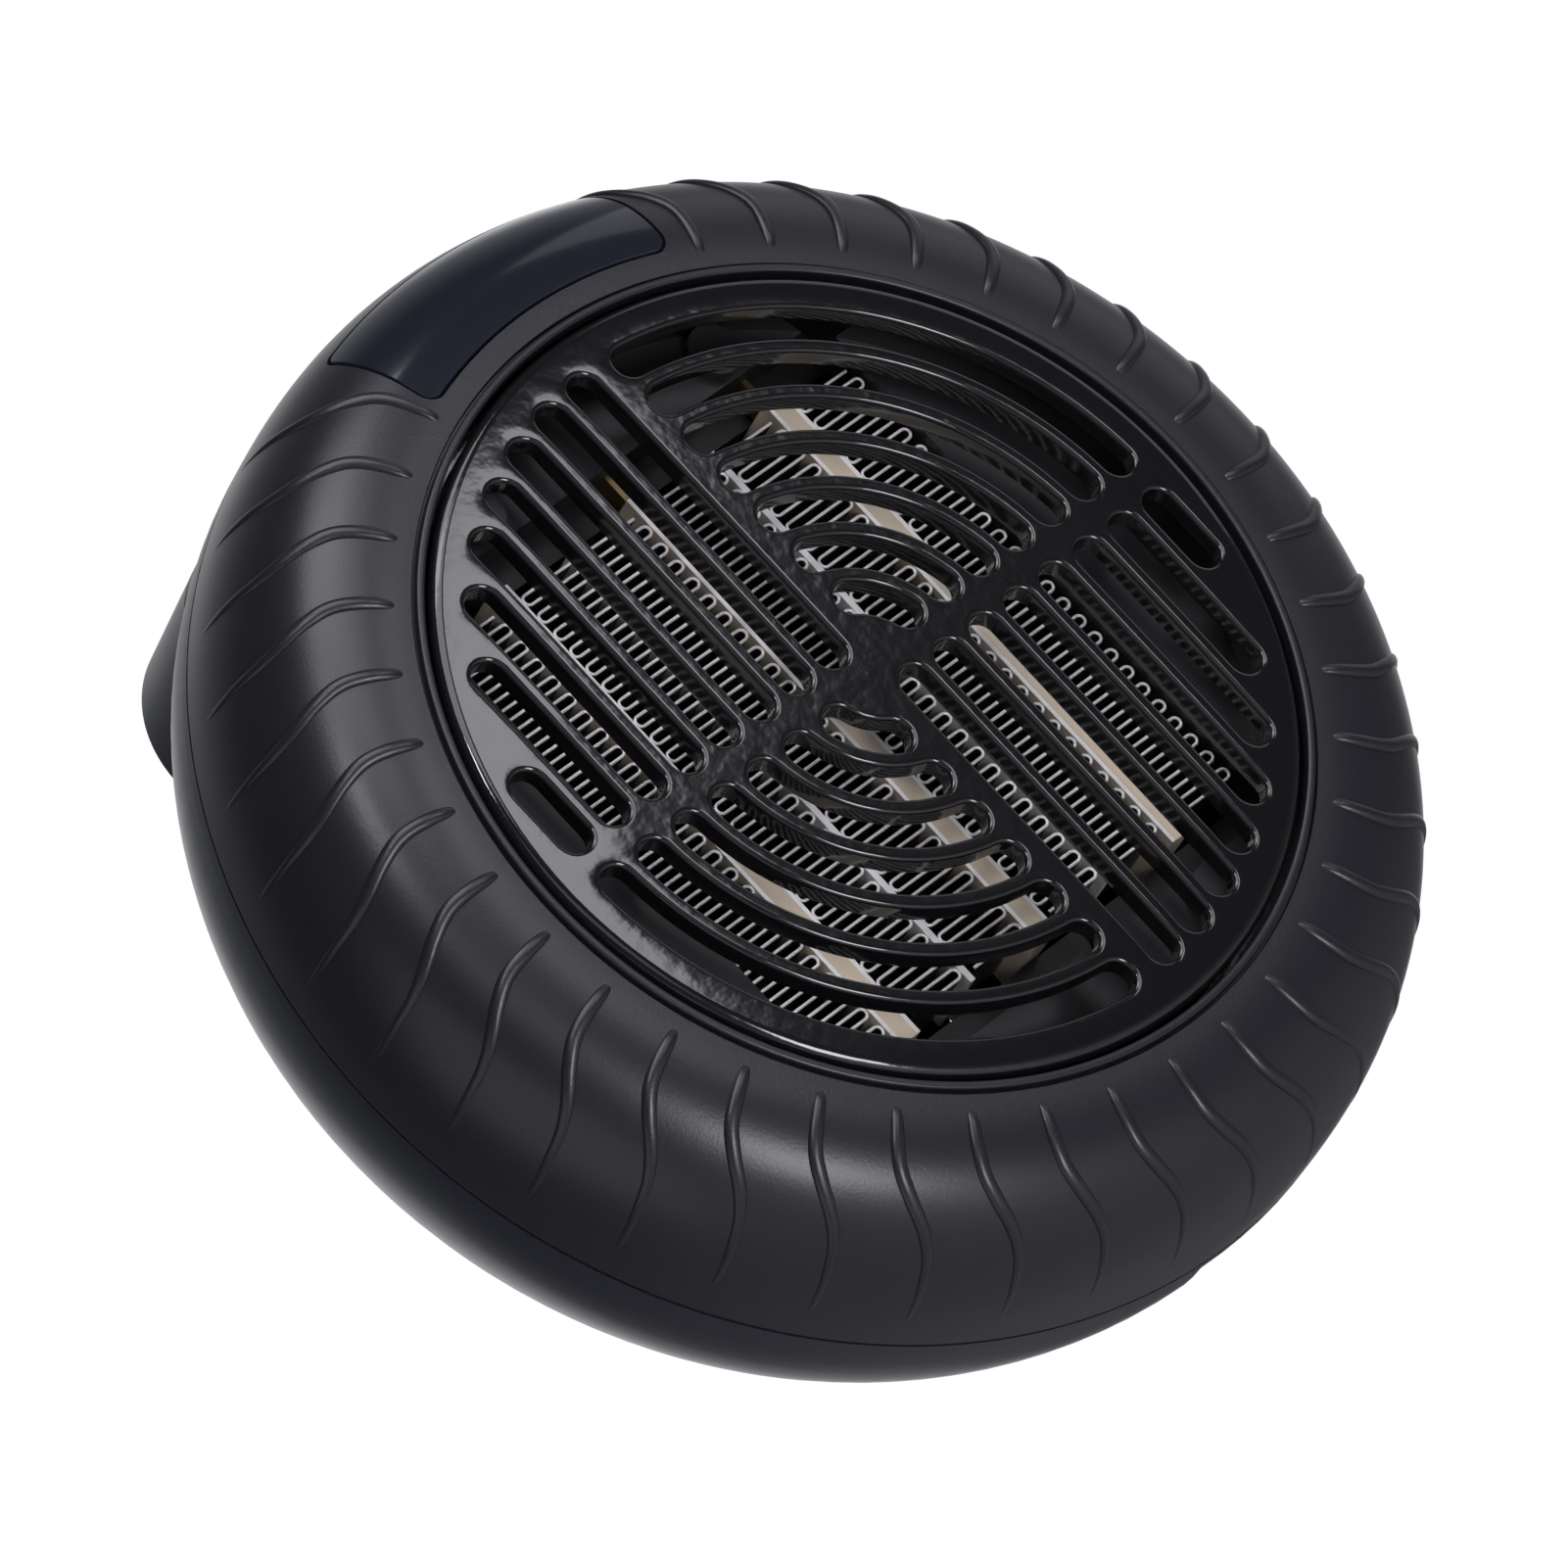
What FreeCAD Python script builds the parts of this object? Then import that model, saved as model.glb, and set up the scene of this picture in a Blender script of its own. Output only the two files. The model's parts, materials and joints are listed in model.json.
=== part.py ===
import FreeCAD, Part
import math
import operator
import os
from types import SimpleNamespace

import Sketcher

# A round fan heater that hangs from a wall socket by its own plug.
# X is to the right as one faces the front, Y runs into the wall and Z is up. Millimetres and degrees.
# The origin is the middle of the plug's end face, between its two pins.
# The round body hangs below it. Places are given from the body's axis, with depths counted
# back from the face of the grille.

SIZES = (
    # Whole body
    ("body_radius", 70.0, "largest outside radius of the round body"),
    ("wall", 2.0, "wall of both shells"),
    ("overrun", 1.0, "how far a cut runs past what it cuts"),
    ("fit_gap", 0.2, "gap round a piece that is let into another"),
    # Front shell
    ("rim_front", 1.2, "flat front of the rim behind the grille's face"),
    ("rim_round_width", 14.0, "rounding of the rim, across"),
    ("rim_round_depth", 17.8, "rounding of the rim, from front to back"),
    ("rim_round_share", 0.86, "tighter radius of the rounding, as a share of its shorter side"),
    ("rim_side", 5.6, "straight side between the rounding and the seam"),
    ("rim_flat_width", 4.0, "flat front of the rim, across"),
    ("bead_width", 1.0, "thin bead along the inner edge of the rim"),
    ("bead_lift", 0.6, "how far the bead stands in front of the rim"),
    ("crease_width", 0.4, "crease between the bead and the rim"),
    ("crease_depth", 0.5, "depth of the crease below the rim's front"),
    ("collar_wall", 2.0, "wall of the collar round the grille"),
    ("collar_length", 7.0, "collar from the front of the bead to its back end"),
    # Display panel in the top of the rim
    ("panel_inset", 0.6, "inner edge of the panel inside the rounding"),
    ("panel_drop", 8.8, "outer edge of the panel behind the rim's front"),
    ("panel_half_width", 19.0, "half the width of the panel"),
    ("panel_tilt", 38.0, "tilt of the board behind the panel, up from the front"),
    ("board_thickness", 1.2, "thickness of both circuit boards"),
    ("display_board_width", 34.0, "width of the board behind the panel"),
    ("display_board_height", 11.0, "height of that board along its slope"),
    ("display_board_inset", 11.6, "middle of the board inside the body's radius"),
    ("display_board_set", 6.8, "middle of the board behind the rim's front"),
    ("display_width", 18.0, "display module"),
    ("display_height", 8.0, "display module"),
    ("display_thickness", 2.4, "display module"),
    ("touch_spring_radius", 2.0, "touch spring beside the display"),
    ("touch_spring_length", 2.4, "touch spring, pressed against the panel"),
    ("touch_spring_offset", 12.5, "touch springs from the middle of the board"),
    # Front grille
    ("grille_gap", 0.6, "groove between the grille and the collar"),
    ("grille_thickness", 2.6, "plate of the grille"),
    ("grille_skirt", 1.8, "wall of the skirt behind the plate"),
    ("grille_flange", 3.0, "how far the flange stands out from the skirt"),
    ("grille_flange_thickness", 1.6, "flange caught behind the collar"),
    ("grille_border", 4.4, "solid border outside the slots"),
    ("slot_pitch", 5.82, "spacing of the slots"),
    ("slot_width", 4.05, "width of a slot"),
    ("slot_level_band", 2.1, "solid band beside the level axis, at the straight slots"),
    ("arc_upright_band", 2.2, "solid band beside the upright axis, at the arc slots"),
    ("arc_level_band", 0.9, "solid band beside the level axis, at the arc slots"),
    # Heating block
    ("fin_set", 1.3, "front edge of the fins behind the frame's front"),
    ("fin_depth", 10.0, "fins from front to back"),
    ("fin_pitch", 2.6, "one full wave of the folded fin"),
    ("fin_thickness", 0.3, "sheet of the fin"),
    ("unit_count", 3, "heating bars, each between two rows of fin"),
    ("bar_width", 3.2, "heating bar across"),
    ("bar_end", 1.0, "how far a bar reaches past its fins at each end"),
    ("strip_width", 0.8, "bright strip between neighbouring units"),
    ("tab_thickness", 0.8, "terminal tab"),
    ("tab_width", 6.3, "terminal tab"),
    ("tab_length", 8.0, "terminal tab above its bar"),
    ("tab_gap", 0.6, "terminal tab behind the frame's disc"),
    # Heater frame
    ("frame_lip", 2.0, "disc of the heater frame beyond the flange of the grille"),
    ("frame_thickness", 2.5, "disc of the heater frame"),
    ("frame_border", 4.8, "disc of the heater frame beyond the corners of the duct"),
    ("duct_wall", 2.0, "wall of the square duct round the heating block"),
    ("duct_tail", 2.0, "duct behind the fins"),
    ("header_height", 3.8, "sunk space above and below the heating block"),
    ("header_depth", 6.5, "sunk space above and below the heating block"),
    ("ear_radius", 4.5, "round ears of the frame"),
    ("ear_offset", 2.0, "middle of the ears beyond the disc"),
    ("ear_angle", 20.0, "ears above and below the level axis"),
    ("boss_radius", 3.2, "screw bosses"),
    ("boss_height", 1.6, "round bosses on the front of the frame"),
    ("boss_inset", 9.8, "front bosses inside the disc's edge"),
    ("boss_angle", 65.0, "front bosses from the level axis"),
    ("post_inset", 3.0, "posts for the fan housing inside the disc's edge"),
    ("screw_radius", 1.45, "thread of the screws"),
    ("screw_hole", 1.6, "hole that a screw passes"),
    ("screw_head_radius", 2.8, "head of the screws"),
    ("screw_head_height", 1.8, "head of the screws"),
    ("screw_bite", 5.0, "length of thread in a post"),
    ("short_bite", 3.4, "length of thread in a short post"),
    ("cutout_length", 12.0, "thermal cut-out"),
    ("cutout_width", 5.5, "thermal cut-out"),
    ("cutout_height", 4.0, "thermal cut-out"),
    ("fuse_length", 11.0, "thermal fuse"),
    ("fuse_radius", 1.8, "thermal fuse"),
    ("sensor_gap", 1.5, "cut-out and fuse behind the frame's disc"),
    # Fan
    ("fan_flange_lip", 1.0, "front flange of the fan housing beyond the frame's disc"),
    ("fan_flange_thickness", 2.0, "front flange of the fan housing"),
    ("fan_inset", 10.0, "bore of the fan housing inside the disc's edge"),
    ("fan_wall", 2.0, "wall of the fan housing"),
    ("arm_width", 6.0, "arms that carry the motor"),
    ("arm_thickness", 3.0, "arms that carry the motor"),
    ("motor_radius", 12.2, "can of the motor"),
    ("motor_length", 13.0, "can of the motor"),
    ("motor_room", 1.2, "gap behind the motor"),
    ("ring_border", 1.8, "ring on the arms beyond the motor that sits on it"),
    ("motor_nose_radius", 4.0, "bearing nose of the motor"),
    ("motor_nose_length", 2.4, "bearing nose of the motor"),
    ("shaft_radius", 1.0, "motor shaft"),
    ("shaft_gap", 0.05, "running gap of the shaft"),
    ("shaft_set", 1.0, "front end of the shaft behind the hub's front"),
    ("shaft_sunk", 9.0, "shaft inside the motor"),
    ("shaft_end_gap", 0.3, "gap behind the end of the shaft"),
    ("hub_radius", 14.0, "hub of the impeller"),
    ("hub_gap", 6.0, "front of the hub behind the duct"),
    ("hub_length", 9.0, "hub of the impeller"),
    ("hub_clearance", 1.5, "gap between the hub and the arms"),
    ("hub_wall", 2.0, "wall of the hub"),
    ("hub_core_radius", 3.5, "core of the hub round the shaft"),
    ("blade_count", 7, "blades of the impeller"),
    ("tip_gap", 2.0, "gap between the blades and the bore"),
    ("blade_thickness", 1.4, "blades of the impeller"),
    ("blade_root_chord", 13.0, "blade at the hub"),
    ("blade_tip_chord", 19.0, "blade at the tip"),
    ("blade_root_angle", 48.0, "blade at the hub, from the fan's axis"),
    ("blade_tip_angle", 66.0, "blade at the tip, from the fan's axis"),
    ("blade_sink", 0.6, "root of a blade inside the hub's wall"),
    # Rear shell
    ("seam_land", 1.4, "straight side between the seam and the bowl"),
    ("bowl_run", 34.0, "rounding of the bowl, across"),
    ("bowl_round_share", 0.9, "tighter radius of the bowl, as a share of its shorter side"),
    ("tongue_length", 2.2, "tongue inside the seam"),
    ("tongue_wall", 1.4, "tongue inside the seam"),
    ("vent_count", 18, "air slots in the back"),
    ("vent_inner", 12.0, "inner ends of the air slots"),
    ("vent_border", 5.0, "outer ends of the air slots inside the flat back's edge"),
    ("vent_width", 3.2, "width of an air slot"),
    ("shell_screw_inset", 10.0, "shell screws inside the body's radius"),
    ("shell_screw_angle", 45.0, "shell screws from the level axis"),
    ("shell_post_radius", 4.0, "posts in the front shell for the shell screws"),
    ("shell_tube_radius", 5.0, "tubes in the rear shell round the shell screws"),
    ("seat_depth", 3.4, "seat of the shell screws behind the seam"),
    ("screw_well_radius", 3.3, "well that the screw is driven through"),
    # Turret and plug
    ("plug_drop", 13.0, "axis of the plug below the top of the body"),
    ("fairing_set", 1.0, "front end of the swelling under the turret behind the straight side"),
    ("fairing_radius", 10.0, "front end of the swelling under the turret"),
    ("fairing_length", 15.0, "swelling up to where the turret is widest"),
    ("turret_taper", 0.8, "how much the turret is wider at its front than at its end"),
    ("turret_stand", 15.8, "end of the turret behind the flat back"),
    ("turret_wall", 2.4, "side wall of the turret"),
    ("turret_end_wall", 3.0, "end wall that carries the plug"),
    ("plug_gap", 0.4, "gap between the turret and the turning plug"),
    ("plug_length", 19.4, "plug beyond the turret"),
    ("plug_taper", 0.8, "how much the plug is wider at the turret than at its end"),
    ("plug_end_wall", 3.5, "wall of the plug that holds the pins"),
    ("plug_wall", 2.4, "side wall of the plug"),
    ("stem_radius", 10.0, "stem of the plug in the turret"),
    ("stem_gap", 0.06, "running gap of the stem"),
    ("stem_wall", 3.0, "wall of the stem"),
    ("stem_sunk", 8.0, "stem in front of the turret's end wall"),
    ("retainer_side_gap", 1.0, "gap round the ring that holds the stem in the turret"),
    ("retainer_thickness", 2.5, "ring that holds the stem in the turret"),
    ("retainer_gap", 0.3, "gap between the ring and the end wall"),
    ("pin_radius", 2.4, "contact pins"),
    ("pin_spacing", 19.0, "contact pins, middle to middle"),
    ("pin_border", 3.1, "end face of the plug beyond the pins"),
    ("pin_length", 19.0, "contact pins beyond the end face"),
    ("pin_tip_length", 1.6, "rounded tip of a pin"),
    ("pin_tip_radius", 1.5, "rounded tip of a pin"),
    ("pin_neck_radius", 2.0, "pin where the plug holds it, up to the end face"),
    ("pin_tail", 3.0, "pin inside the plug"),
    # Power switch at the bottom
    ("switch_set", 6.0, "middle of the switch behind the straight side"),
    ("switch_offset", 4.2, "middle of the switch to the right of the body's axis"),
    ("recess_depth", 5.4, "recess of the switch below the body's outside"),
    ("switch_pad", 2.6, "thick pad behind the recess"),
    ("recess_gap", 0.8, "recess round the bezel"),
    ("bezel_lip", 1.0, "bezel beyond the body of the switch"),
    ("bezel_thickness", 1.4, "bezel of the switch"),
    ("switch_width", 13.0, "body of the switch"),
    ("switch_length", 8.6, "body of the switch"),
    ("switch_height", 9.0, "body of the switch inside the shell"),
    ("switch_wall", 0.8, "wall of the switch body"),
    ("cavity_height", 4.6, "hollow of the switch body"),
    ("rocker_gap", 0.3, "gap round the rocker"),
    ("rocker_end_height", 4.0, "rocker at its two ends"),
    ("rocker_mid_height", 3.0, "rocker at its middle"),
    ("rocker_sunk", 1.2, "rocker below its pivot"),
    ("rocker_pin_radius", 0.8, "pivot of the rocker"),
    ("rocker_tilt", 9.0, "rocker to either side of level"),
    # Control board over the fan housing
    ("board_lift", 3.4, "underside of the board above the fan housing"),
    ("control_board_half_width", 24.0, "half the width of the board"),
    ("board_gap", 0.5, "front edge of the board behind the flange"),
    ("control_board_length", 18.5, "board from front to back"),
    ("board_post_border", 4.0, "posts under the board from its side edges"),
    ("board_post_inset", 3.0, "posts under the board from its back edge"),
    ("board_post_radius", 2.6, "posts under the board"),
    ("relay_width", 13.0, "relay"),
    ("relay_length", 12.0, "relay"),
    ("relay_height", 7.0, "relay"),
    ("relay_share", 0.47, "middle of the relay to the left, as a share of the board's half width"),
    ("film_width", 12.0, "film capacitor"),
    ("film_length", 5.5, "film capacitor"),
    ("film_height", 7.5, "film capacitor"),
    ("film_share", 0.19, "middle of the film capacitor to the right, as a share of the board's half width"),
    ("can_radius", 3.2, "filter capacitor lying on the board"),
    ("can_length", 11.0, "filter capacitor"),
    ("can_share", 0.67, "filter capacitor to the right, as a share of the board's half width"),
    ("buzzer_radius", 4.5, "buzzer"),
    ("buzzer_height", 5.0, "buzzer"),
    ("buzzer_share", 0.2, "buzzer to the right, as a share of the board's half width"),
    ("buzzer_inset", 5.5, "middle of the buzzer from the back edge of the board"),
    ("part_margin", 1.5, "board parts from the front edge of the board"),
)

OPERATIONS = {"+": operator.add, "-": operator.sub, "*": operator.mul, "/": operator.truediv}
FULL_TURN = 360
HALF_TURN = 180
EIGHTH_TURN = 45
BEGIN, FINISH = 1, 2


class Size:
    """A number that keeps the sheet formula it was worked out from."""

    def __init__(self, value, formula):
        self.value = value
        self.formula = formula

    def __add__(self, other):
        return combined(self, "+", other)

    def __radd__(self, other):
        return combined(other, "+", self)

    def __sub__(self, other):
        return combined(self, "-", other)

    def __rsub__(self, other):
        return combined(other, "-", self)

    def __mul__(self, other):
        return combined(self, "*", other)

    def __rmul__(self, other):
        return combined(other, "*", self)

    def __truediv__(self, other):
        return combined(self, "/", other)

    def __neg__(self):
        return combined(0, "-", self)


def as_size(number):
    if isinstance(number, Size):
        return number
    return Size(float(number), repr(float(number)))


def combined(left, sign, right):
    left = as_size(left)
    right = as_size(right)
    return Size(OPERATIONS[sign](left.value, right.value), f"({left.formula} {sign} {right.formula})")


def cosine(angle):
    angle = as_size(angle)
    return Size(math.cos(math.radians(angle.value)), f"cos({angle.formula} * 1deg)")


def sine(angle):
    angle = as_size(angle)
    return Size(math.sin(math.radians(angle.value)), f"sin({angle.formula} * 1deg)")


def shorter(one, other):
    return Size(min(one.value, other.value), f"min({one.formula}; {other.formula})")


def longer(one, other):
    return Size(max(one.value, other.value), f"max({one.formula}; {other.formula})")


def chosen(one, other, smaller, larger):
    """The third size where the first is less than the second, and the fourth otherwise."""
    picked = smaller if one.value < other.value else larger
    return Size(picked.value, f"({one.formula} < {other.formula} ? {smaller.formula} : {larger.formula})")


doc = FreeCAD.newDocument("PlugHeater")
sheet = doc.addObject("Spreadsheet::Sheet", "Sizes")
dim = SimpleNamespace()


def noted(alias, content, value, meaning):
    """Write a size in the next row of the sheet."""
    row = len(vars(dim)) + 1
    sheet.set(f"A{row}", alias)
    sheet.set(f"B{row}", content)
    sheet.setAlias(f"B{row}", alias)
    sheet.set(f"C{row}", meaning)
    setattr(dim, alias, Size(value, f"Sizes.{alias}"))


def follow(alias, size, meaning):
    """Note a size that follows from others, with its formula."""
    noted(alias, "=" + size.formula.replace("Sizes.", ""), size.value, meaning)


for alias, number, meaning in SIZES:
    noted(alias, str(number), number, meaning)

# Radii, from the outside in
follow("rim_flat_radius", dim.body_radius - dim.rim_round_width, "where the flat front starts to round over")
follow("crease_radius", dim.rim_flat_radius - dim.rim_flat_width, "outer edge of the crease")
follow("bead_radius", dim.crease_radius - dim.crease_width, "outer edge of the bead")
follow("collar_radius", dim.bead_radius - dim.bead_width, "inside of the collar")
follow("grille_radius", dim.collar_radius - dim.grille_gap, "outside of the grille")
follow("slot_reach", dim.grille_radius - dim.grille_border, "outer ends of the slots")
follow("frame_radius", dim.grille_radius + dim.grille_flange + dim.frame_lip, "disc of the heater frame")
follow("ear_circle", dim.frame_radius + dim.ear_offset, "ears of the frame")
follow("boss_circle", dim.frame_radius - dim.boss_inset, "front bosses of the frame")
follow("housing_post_circle", dim.frame_radius - dim.post_inset, "posts for the fan housing")
follow("fan_flange_radius", dim.frame_radius + dim.fan_flange_lip, "front flange of the fan housing")
follow("fan_bore", dim.frame_radius - dim.fan_inset, "inside of the fan housing")
follow("blade_tip", dim.fan_bore - dim.tip_gap, "tips of the blades")
follow("motor_ring_radius", dim.motor_radius + dim.ring_border, "ring on the arms")
follow("back_radius", dim.body_radius - dim.bowl_run, "flat back")
follow("vent_outer", dim.back_radius - dim.vent_border, "outer ends of the air slots")
follow("shell_screw_circle", dim.body_radius - dim.shell_screw_inset, "shell screws")
follow("panel_inner_radius", dim.rim_flat_radius - dim.panel_inset, "inner edge of the panel")
follow("display_board_radius", dim.body_radius - dim.display_board_inset, "board behind the panel")
follow("plug_radius", dim.pin_spacing / 2 + dim.pin_radius + dim.pin_border, "end face of the plug")
follow("turret_end_radius", dim.plug_radius + dim.plug_taper, "end of the turret")
follow("turret_radius", dim.turret_end_radius + dim.turret_taper, "turret where it is widest")
follow("turret_bore", dim.turret_end_radius - dim.turret_wall, "hollow of the turret")
follow("retainer_radius", dim.turret_bore - dim.retainer_side_gap, "ring that holds the stem")
follow("stem_bore", dim.stem_radius - dim.stem_wall, "hollow of the stem")

# Heights above or below the body's axis
follow("plug_rise", dim.body_radius - dim.plug_drop, "axis of the plug")
follow("switch_floor", dim.body_radius - dim.recess_depth, "floor of the switch recess")
follow("control_board_level", dim.fan_bore + dim.fan_wall + dim.board_lift, "underside of the control board")

# Depths behind the face of the grille, from front to back
follow("bead_front", dim.rim_front - dim.bead_lift, "front of the bead")
follow("collar_end", dim.bead_front + dim.collar_length, "back end of the collar")
follow("panel_depth", dim.rim_front + dim.panel_drop, "outer edge of the panel")
follow("display_board_depth", dim.rim_front + dim.display_board_set, "middle of the board behind the panel")
follow("rim_shoulder", dim.rim_front + dim.rim_round_depth, "where the rounding meets the straight side")
follow("seam_depth", dim.rim_shoulder + dim.rim_side, "where the two shells meet")
follow("bowl_start", dim.seam_depth + dim.seam_land, "where the bowl starts to round over")
follow("frame_front", dim.collar_end + dim.grille_flange_thickness, "front of the heater frame")
follow("frame_back", dim.frame_front + dim.frame_thickness, "back of the frame's disc")
follow("fin_front", dim.frame_front + dim.fin_set, "front edge of the fins")
follow("fin_back", dim.fin_front + dim.fin_depth, "back edge of the fins")
follow("duct_end", dim.fin_back + dim.duct_tail, "back end of the duct")
follow("sensor_depth", dim.frame_back + dim.sensor_gap, "front of the cut-out and the fuse")
follow("hub_front", dim.duct_end + dim.hub_gap, "front of the hub")
follow("hub_back", dim.hub_front + dim.hub_length, "back of the hub")
follow("arm_front", dim.hub_back + dim.hub_clearance, "front of the arms")
follow("fan_end", dim.arm_front + dim.arm_thickness, "back end of the fan housing")
follow("shaft_start", dim.hub_front + dim.shaft_set, "front end of the shaft")
follow("back_depth", dim.fan_end + dim.motor_length + dim.motor_room + dim.wall, "flat back of the rear shell")
follow("control_board_front", dim.duct_end + dim.fan_flange_thickness + dim.board_gap, "front of the board")
follow("control_board_back", dim.control_board_front + dim.control_board_length, "back edge of the board")
follow("board_post_depth", dim.control_board_back - dim.board_post_inset, "posts under the board")
follow("board_post_offset", dim.control_board_half_width - dim.board_post_border, "posts under the board")
follow("relay_offset", dim.relay_share * dim.control_board_half_width, "middle of the relay")
follow("film_offset", dim.film_share * dim.control_board_half_width, "middle of the film capacitor")
follow("can_offset", dim.can_share * dim.control_board_half_width, "filter capacitor")
follow("buzzer_offset", dim.buzzer_share * dim.control_board_half_width, "buzzer")
follow("buzzer_depth", dim.control_board_back - dim.buzzer_inset, "middle of the buzzer")
follow("shell_screw_seat", dim.seam_depth + dim.seat_depth, "seat of the shell screws")
follow("switch_depth", dim.bowl_start + dim.switch_set, "middle of the switch")
follow("fairing_start", dim.bowl_start + dim.fairing_set, "front end of the swelling")
follow("turret_start", dim.fairing_start + dim.fairing_length, "where the turret is widest")
follow("turret_end", dim.back_depth + dim.turret_stand, "end of the turret")
follow("turret_inside", dim.turret_end - dim.turret_end_wall, "inner face of the turret's end wall")
follow("stem_start", dim.turret_inside - dim.stem_sunk, "front end of the stem")
follow("plug_start", dim.turret_end + dim.plug_gap, "front of the turning plug")
follow("plug_reach", dim.plug_start + dim.plug_length, "end face of the plug")

# Heating block, which fills the square duct
follow("duct_half", (dim.frame_radius - dim.frame_border) * cosine(EIGHTH_TURN), "half the outside of the duct")
follow("window_half", dim.duct_half - dim.duct_wall, "half the inside of the duct")
follow("block_half", dim.window_half - dim.fit_gap, "half the heating block")
follow("fin_row_half", dim.block_half - dim.bar_end, "half the height of a row of fin")
bars_and_strips = dim.unit_count * dim.bar_width + (dim.unit_count - 1) * dim.strip_width
follow("fin_row_width", (2 * dim.block_half - bars_and_strips) / (2 * dim.unit_count), "one row of fin across")
follow("unit_width", 2 * dim.fin_row_width + dim.bar_width, "a bar and its two rows of fin")
follow("unit_pitch", dim.unit_width + dim.strip_width, "spacing of the bars")
follow("header_half", dim.window_half + dim.header_height, "half the sunk spaces and what lies between")
follow("header_outside", dim.header_half + dim.duct_wall, "outside of the sunk spaces")
follow("header_floor", dim.frame_front + dim.header_depth, "floor of the sunk spaces")
follow("tab_front", dim.frame_back + dim.tab_gap, "front edge of the terminal tabs")
follow("tab_back", dim.tab_front + dim.tab_width, "back edge of the terminal tabs")

# Power switch
follow("bezel_width", dim.switch_width + 2 * dim.bezel_lip, "bezel of the switch, across")
follow("bezel_length", dim.switch_length + 2 * dim.bezel_lip, "bezel of the switch, from front to back")
follow("recess_width", dim.bezel_width + 2 * dim.recess_gap, "recess of the switch, across")
follow("recess_length", dim.bezel_length + 2 * dim.recess_gap, "recess of the switch, from front to back")
doc.recompute()

BACKWARD = FreeCAD.Rotation(FreeCAD.Vector(1, 0, 0), -90)
RIGHTWARD = FreeCAD.Rotation(FreeCAD.Vector(0, 1, 0), 90)
UPRIGHT = FreeCAD.Rotation()
ORIGIN = FreeCAD.Vector(0, 0, 0)
FAN_AXIS = FreeCAD.Vector(0, 1, 0)
pieces = []


# Building blocks

def bound(thing, formulas):
    for path, size in formulas.items():
        thing.setExpression(path, as_size(size).formula)
    return thing


def placed(thing, x, depth, z, rotation=UPRIGHT):
    """Set a thing down by its place from the body's axis and its depth behind the grille's face."""
    thing.Placement = FreeCAD.Placement(ORIGIN, rotation)
    return bound(thing, {
        "Placement.Base.x": x,
        "Placement.Base.y": depth - dim.plug_reach,
        "Placement.Base.z": z - dim.plug_rise,
    })


def box(across, back, up):
    thing = doc.addObject("Part::Box", "Block")
    bound(thing, {"Length": across[1] - across[0], "Width": back[1] - back[0], "Height": up[1] - up[0]})
    return placed(thing, across[0], back[0], up[0])


def rod(radius, back, x=0, z=0):
    """A round bar that runs from front to back."""
    thing = doc.addObject("Part::Cylinder", "Rod")
    bound(thing, {"Radius": radius, "Height": back[1] - back[0]})
    return placed(thing, x, back[0], z, BACKWARD)


def post(radius, up, x, depth):
    """A round bar that stands upright."""
    thing = doc.addObject("Part::Cylinder", "Post")
    bound(thing, {"Radius": radius, "Height": up[1] - up[0]})
    return placed(thing, x, depth, up[0])


def level_rod(radius, across, depth, z):
    """A round bar that runs from left to right."""
    thing = doc.addObject("Part::Cylinder", "LevelRod")
    bound(thing, {"Radius": radius, "Height": across[1] - across[0]})
    return placed(thing, across[0], depth, z, RIGHTWARD)


def cone(front_radius, back_radius, back, x=0, z=0):
    thing = doc.addObject("Part::Cone", "Cone")
    bound(thing, {"Radius1": front_radius, "Radius2": back_radius, "Height": back[1] - back[0]})
    return placed(thing, x, back[0], z, BACKWARD)


def grouped(things):
    thing = doc.addObject("Part::Compound", "Group")
    thing.Links = list(things)
    return thing


def fused(*things):
    thing = doc.addObject("Part::MultiFuse", "Fused")
    thing.Shapes = list(things)
    return thing


def cut(base, *tools):
    thing = doc.addObject("Part::Cut", "Cut")
    thing.Base = base
    thing.Tool = tools[0] if len(tools) == 1 else fused(*tools)
    return thing


def shared(one, other):
    thing = doc.addObject("Part::Common", "Shared")
    thing.Base = one
    thing.Tool = other
    return thing


def tube(outer, inner, back, x=0, z=0):
    hole = (back[0] - dim.overrun, back[1] + dim.overrun)
    return cut(rod(outer, back, x, z), rod(inner, hole, x, z))


def drawn(shape, name):
    thing = doc.addObject("Part::Feature", name)
    thing.Shape = shape
    return thing


def piece(label, thing):
    thing.Label = label
    pieces.append(thing)
    return thing


# Outlines are lists of corners, each a radius and a depth.
# Where an arc leads on to the next corner, its radius and its centre follow.

def vector_of(corner):
    return FreeCAD.Vector(as_size(corner[0]).value, as_size(corner[1]).value, 0)


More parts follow.
